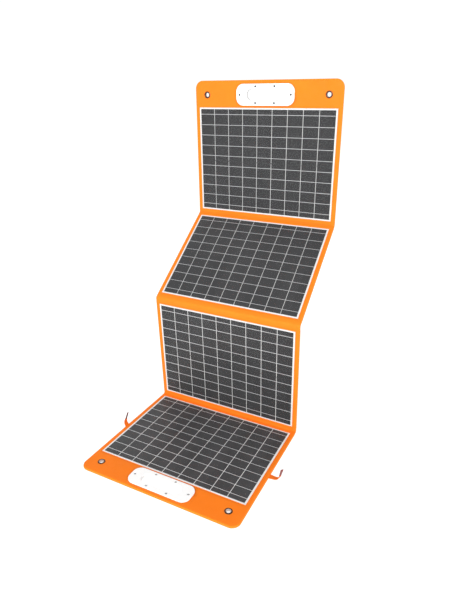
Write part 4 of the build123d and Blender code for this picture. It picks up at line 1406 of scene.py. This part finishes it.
def pocket():
    """Cloth pocket with a sewn flange on three sides and a taped mouth."""
    rows = [POCKET_LOW - POCKET_FLANGE, POCKET_LOW - 2.5]
    rows += [POCKET_LOW + d for d in (0.0, 0.2, 0.6, 1.3, 2.4, 4.0, 6.2, 9.0, 12.5)]
    rows += list(np.arange(POCKET_LOW + 17, POCKET_HIGH - 14, 4.4))
    rows += list(np.linspace(POCKET_HIGH - 13, POCKET_HIGH, 7))
    shares = [0.0, 0.2, 0.6, 1.3, 2.4, 4.0, 6.2, 9.0, 12.5, 17]
    inner = np.arange(-90, 90.1, 2.4)
    points, uvs = [], []
    for row, y in enumerate(rows):
        on_flange = row < 2
        half = pocket_edge(max(y, POCKET_LOW))
        wide = half + POCKET_FLANGE
        line = [-wide, -half - 2.5] + [-half + d * half / POCKET_HALF for d in shares]
        line += [x * half / POCKET_HALF for x in inner]
        line += [half - d * half / POCKET_HALF for d in shares[::-1]] + [half + 2.5, wide]
        for column, x in enumerate(line):
            flange = on_flange or column < 2 or column > len(line) - 3
            depth = 0.45 if flange else 0.45 + pocket_depth(x, y)
            points.append((x, y, -depth))
            uvs.append((x + math.copysign(depth, x), y))
    faces = grid_faces(len(rows), len(line))
    piece = build("controller_pocket_cloth", points, faces, LEAF[4], uvs, np.zeros(len(points)))
    wear(thicken(piece, 0.8, 1), CLOTH_BACK)
    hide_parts("controller_pocket")
    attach(piece, "leaf_4")
    wide = 2 * (POCKET_HALF + POCKET_DEPTH + POCKET_FLANGE)
    heights = np.linspace(POCKET_HIGH - 1, POCKET_LOW + 6, 60)
    runs = [[(side * (POCKET_HALF + 3), y, -1.0) for y in heights] for side in (-1, 1)]
    runs.append([(x, POCKET_LOW - 3, -1.0) for x in np.linspace(-98, 98, 60)])
    stitches("controller_pocket_stitches", runs, (0, 0, -1), LEAF[4], "leaf_4")


def mouth_tape():
    """Binding tape folded over the pocket's mouth."""
    rows = [(-TAPE_WIDTH + d, TAPE_STAND) for d in np.linspace(0, TAPE_WIDTH, 7)]
    rows += [(0.9, 0.5), (1.1, -0.4), (0.9, -1.2)]
    rows += [(-d, -1.7) for d in (0.5, 2.5, 5.0)]
    shares = (0.35, 0.8, 1.5, 2.6, 4.0, 6.2, 9.0, 12.5, 17)
    line = [-POCKET_HALF + d for d in shares] + list(np.arange(-90, 90.1, 2.4))
    line += [POCKET_HALF - d for d in shares[::-1]]
    points, uvs = [], []
    for rise, stand in rows:
        for x in line:
            depth = pocket_depth(x, POCKET_HIGH + min(rise, 0.0)) + stand
            points.append((x, POCKET_HIGH + rise, -max(depth, 0.5)))
            uvs.append((x, rise + stand))
    faces = grid_faces(len(rows), len(line))
    tape = build("controller_pocket_tape", points, faces, LEAF[4], uvs, np.zeros(len(points)))
    wear(thicken(tape, 0.5, 0), BINDING)
    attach(tape, "leaf_4")


pocket()
mouth_tape()
wear(NODES["controller_tray"], BLACK)
wear(NODES["controller_lid"], BLACK)
wear(NODES["controller_circuit_board"], BOARD_MASK)
wear(NODES["controller_sockets"], SOCKET)


# --- Floor, light and camera ------------------------------------------------------------------

# The camera's place, turn and lens were solved from the corners of the laminates in the photo.
CAMERA_EYE = Vector((0.59407, -1.05323, 0.90963))
CAMERA_FORWARD = Vector((-0.42500, 0.84181, -0.33277))
CAMERA_RIGHT = Vector((0.89096, 0.45396, 0.01047))
CAMERA_LENS = 29.41
CAMERA_SHIFT = (0.0248, -0.0309)
HORIZON, ZENITH = 1.06, 0.62  # brightness of the studio, level with the eye and overhead
DIM_START = 0.12  # upward part of the direction in which the studio starts to dim
FLOOR_TONE = 0.62
FLOOR_GLOW = 0.62  # light that comes through the lit studio floor


def floor():
    """Wide plain floor."""
    bpy.ops.mesh.primitive_plane_add(size=30, location=(0, 0, -0.0004))
    plane = bpy.context.object
    plane.name = "studio_floor"
    grey = (FLOOR_TONE,) * 3
    look = Look("studio_floor", grey, 0.9, Emission_Strength=FLOOR_GLOW)
    look.shader.inputs["Emission Color"].default_value = (1, 1, 1, 1)
    look.shader.inputs["Specular IOR Level"].default_value = 0.0
    tone = look.between(look.noise(look.place(), 0.5, 2), 0.0, 1.0, 0.0, 1.0)
    tint = look.blend(tone, grey, (FLOOR_TONE + 0.01,) * 3)
    plane.data.materials.append(look.finish(tint))


def light(name, position, target, size, power):
    """Soft area light aimed at a point."""
    lamp = bpy.data.lights.new(name, "AREA")
    lamp.shape = "DISK"
    lamp.size = size
    lamp.energy = power
    holder = bpy.data.objects.new(name, lamp)
    bpy.context.scene.collection.objects.link(holder)
    holder.location = position
    holder.rotation_mode = "QUATERNION"
    holder.rotation_quaternion = (Vector(target) - Vector(position)).to_track_quat("-Z", "Y")


def camera():
    data = bpy.data.cameras.new("camera")
    data.lens = CAMERA_LENS
    data.sensor_width = 36
    data.shift_x, data.shift_y = CAMERA_SHIFT
    data.clip_end = 60
    eye = bpy.data.objects.new("camera", data)
    bpy.context.scene.collection.objects.link(eye)
    back = -CAMERA_FORWARD.normalized()
    right = (CAMERA_RIGHT - back * CAMERA_RIGHT.dot(back)).normalized()
    above = back.cross(right)
    turned = Matrix((right, above, back)).transposed()
    eye.matrix_world = Matrix.Translation(CAMERA_EYE) @ turned.to_4x4()
    bpy.context.scene.camera = eye


def studio():
    """White surroundings, dimmer overhead than level with the eye."""
    world = bpy.data.worlds.new("studio")
    bpy.context.scene.world = world
    world.use_nodes = True
    nodes, links = world.node_tree.nodes, world.node_tree.links
    sky = nodes["Background"]
    sky.inputs["Color"].default_value = (1, 1, 1, 1)
    where = nodes.new("ShaderNodeTexCoord")
    split = nodes.new("ShaderNodeSeparateXYZ")
    fall = nodes.new("ShaderNodeMapRange")
    links.new(where.outputs["Generated"], split.inputs[0])
    links.new(split.outputs["Z"], fall.inputs["Value"])
    for socket, value in zip(fall.inputs[1:5], (DIM_START, 1.0, HORIZON, ZENITH)):
        socket.default_value = value
    links.new(fall.outputs["Result"], sky.inputs["Strength"])


floor()
studio()
light("key", (1.0, -3.0, 1.6), (0, 0.2, 0.5), 2.4, 92)
bpy.context.scene.view_settings.view_transform = "Standard"
camera()
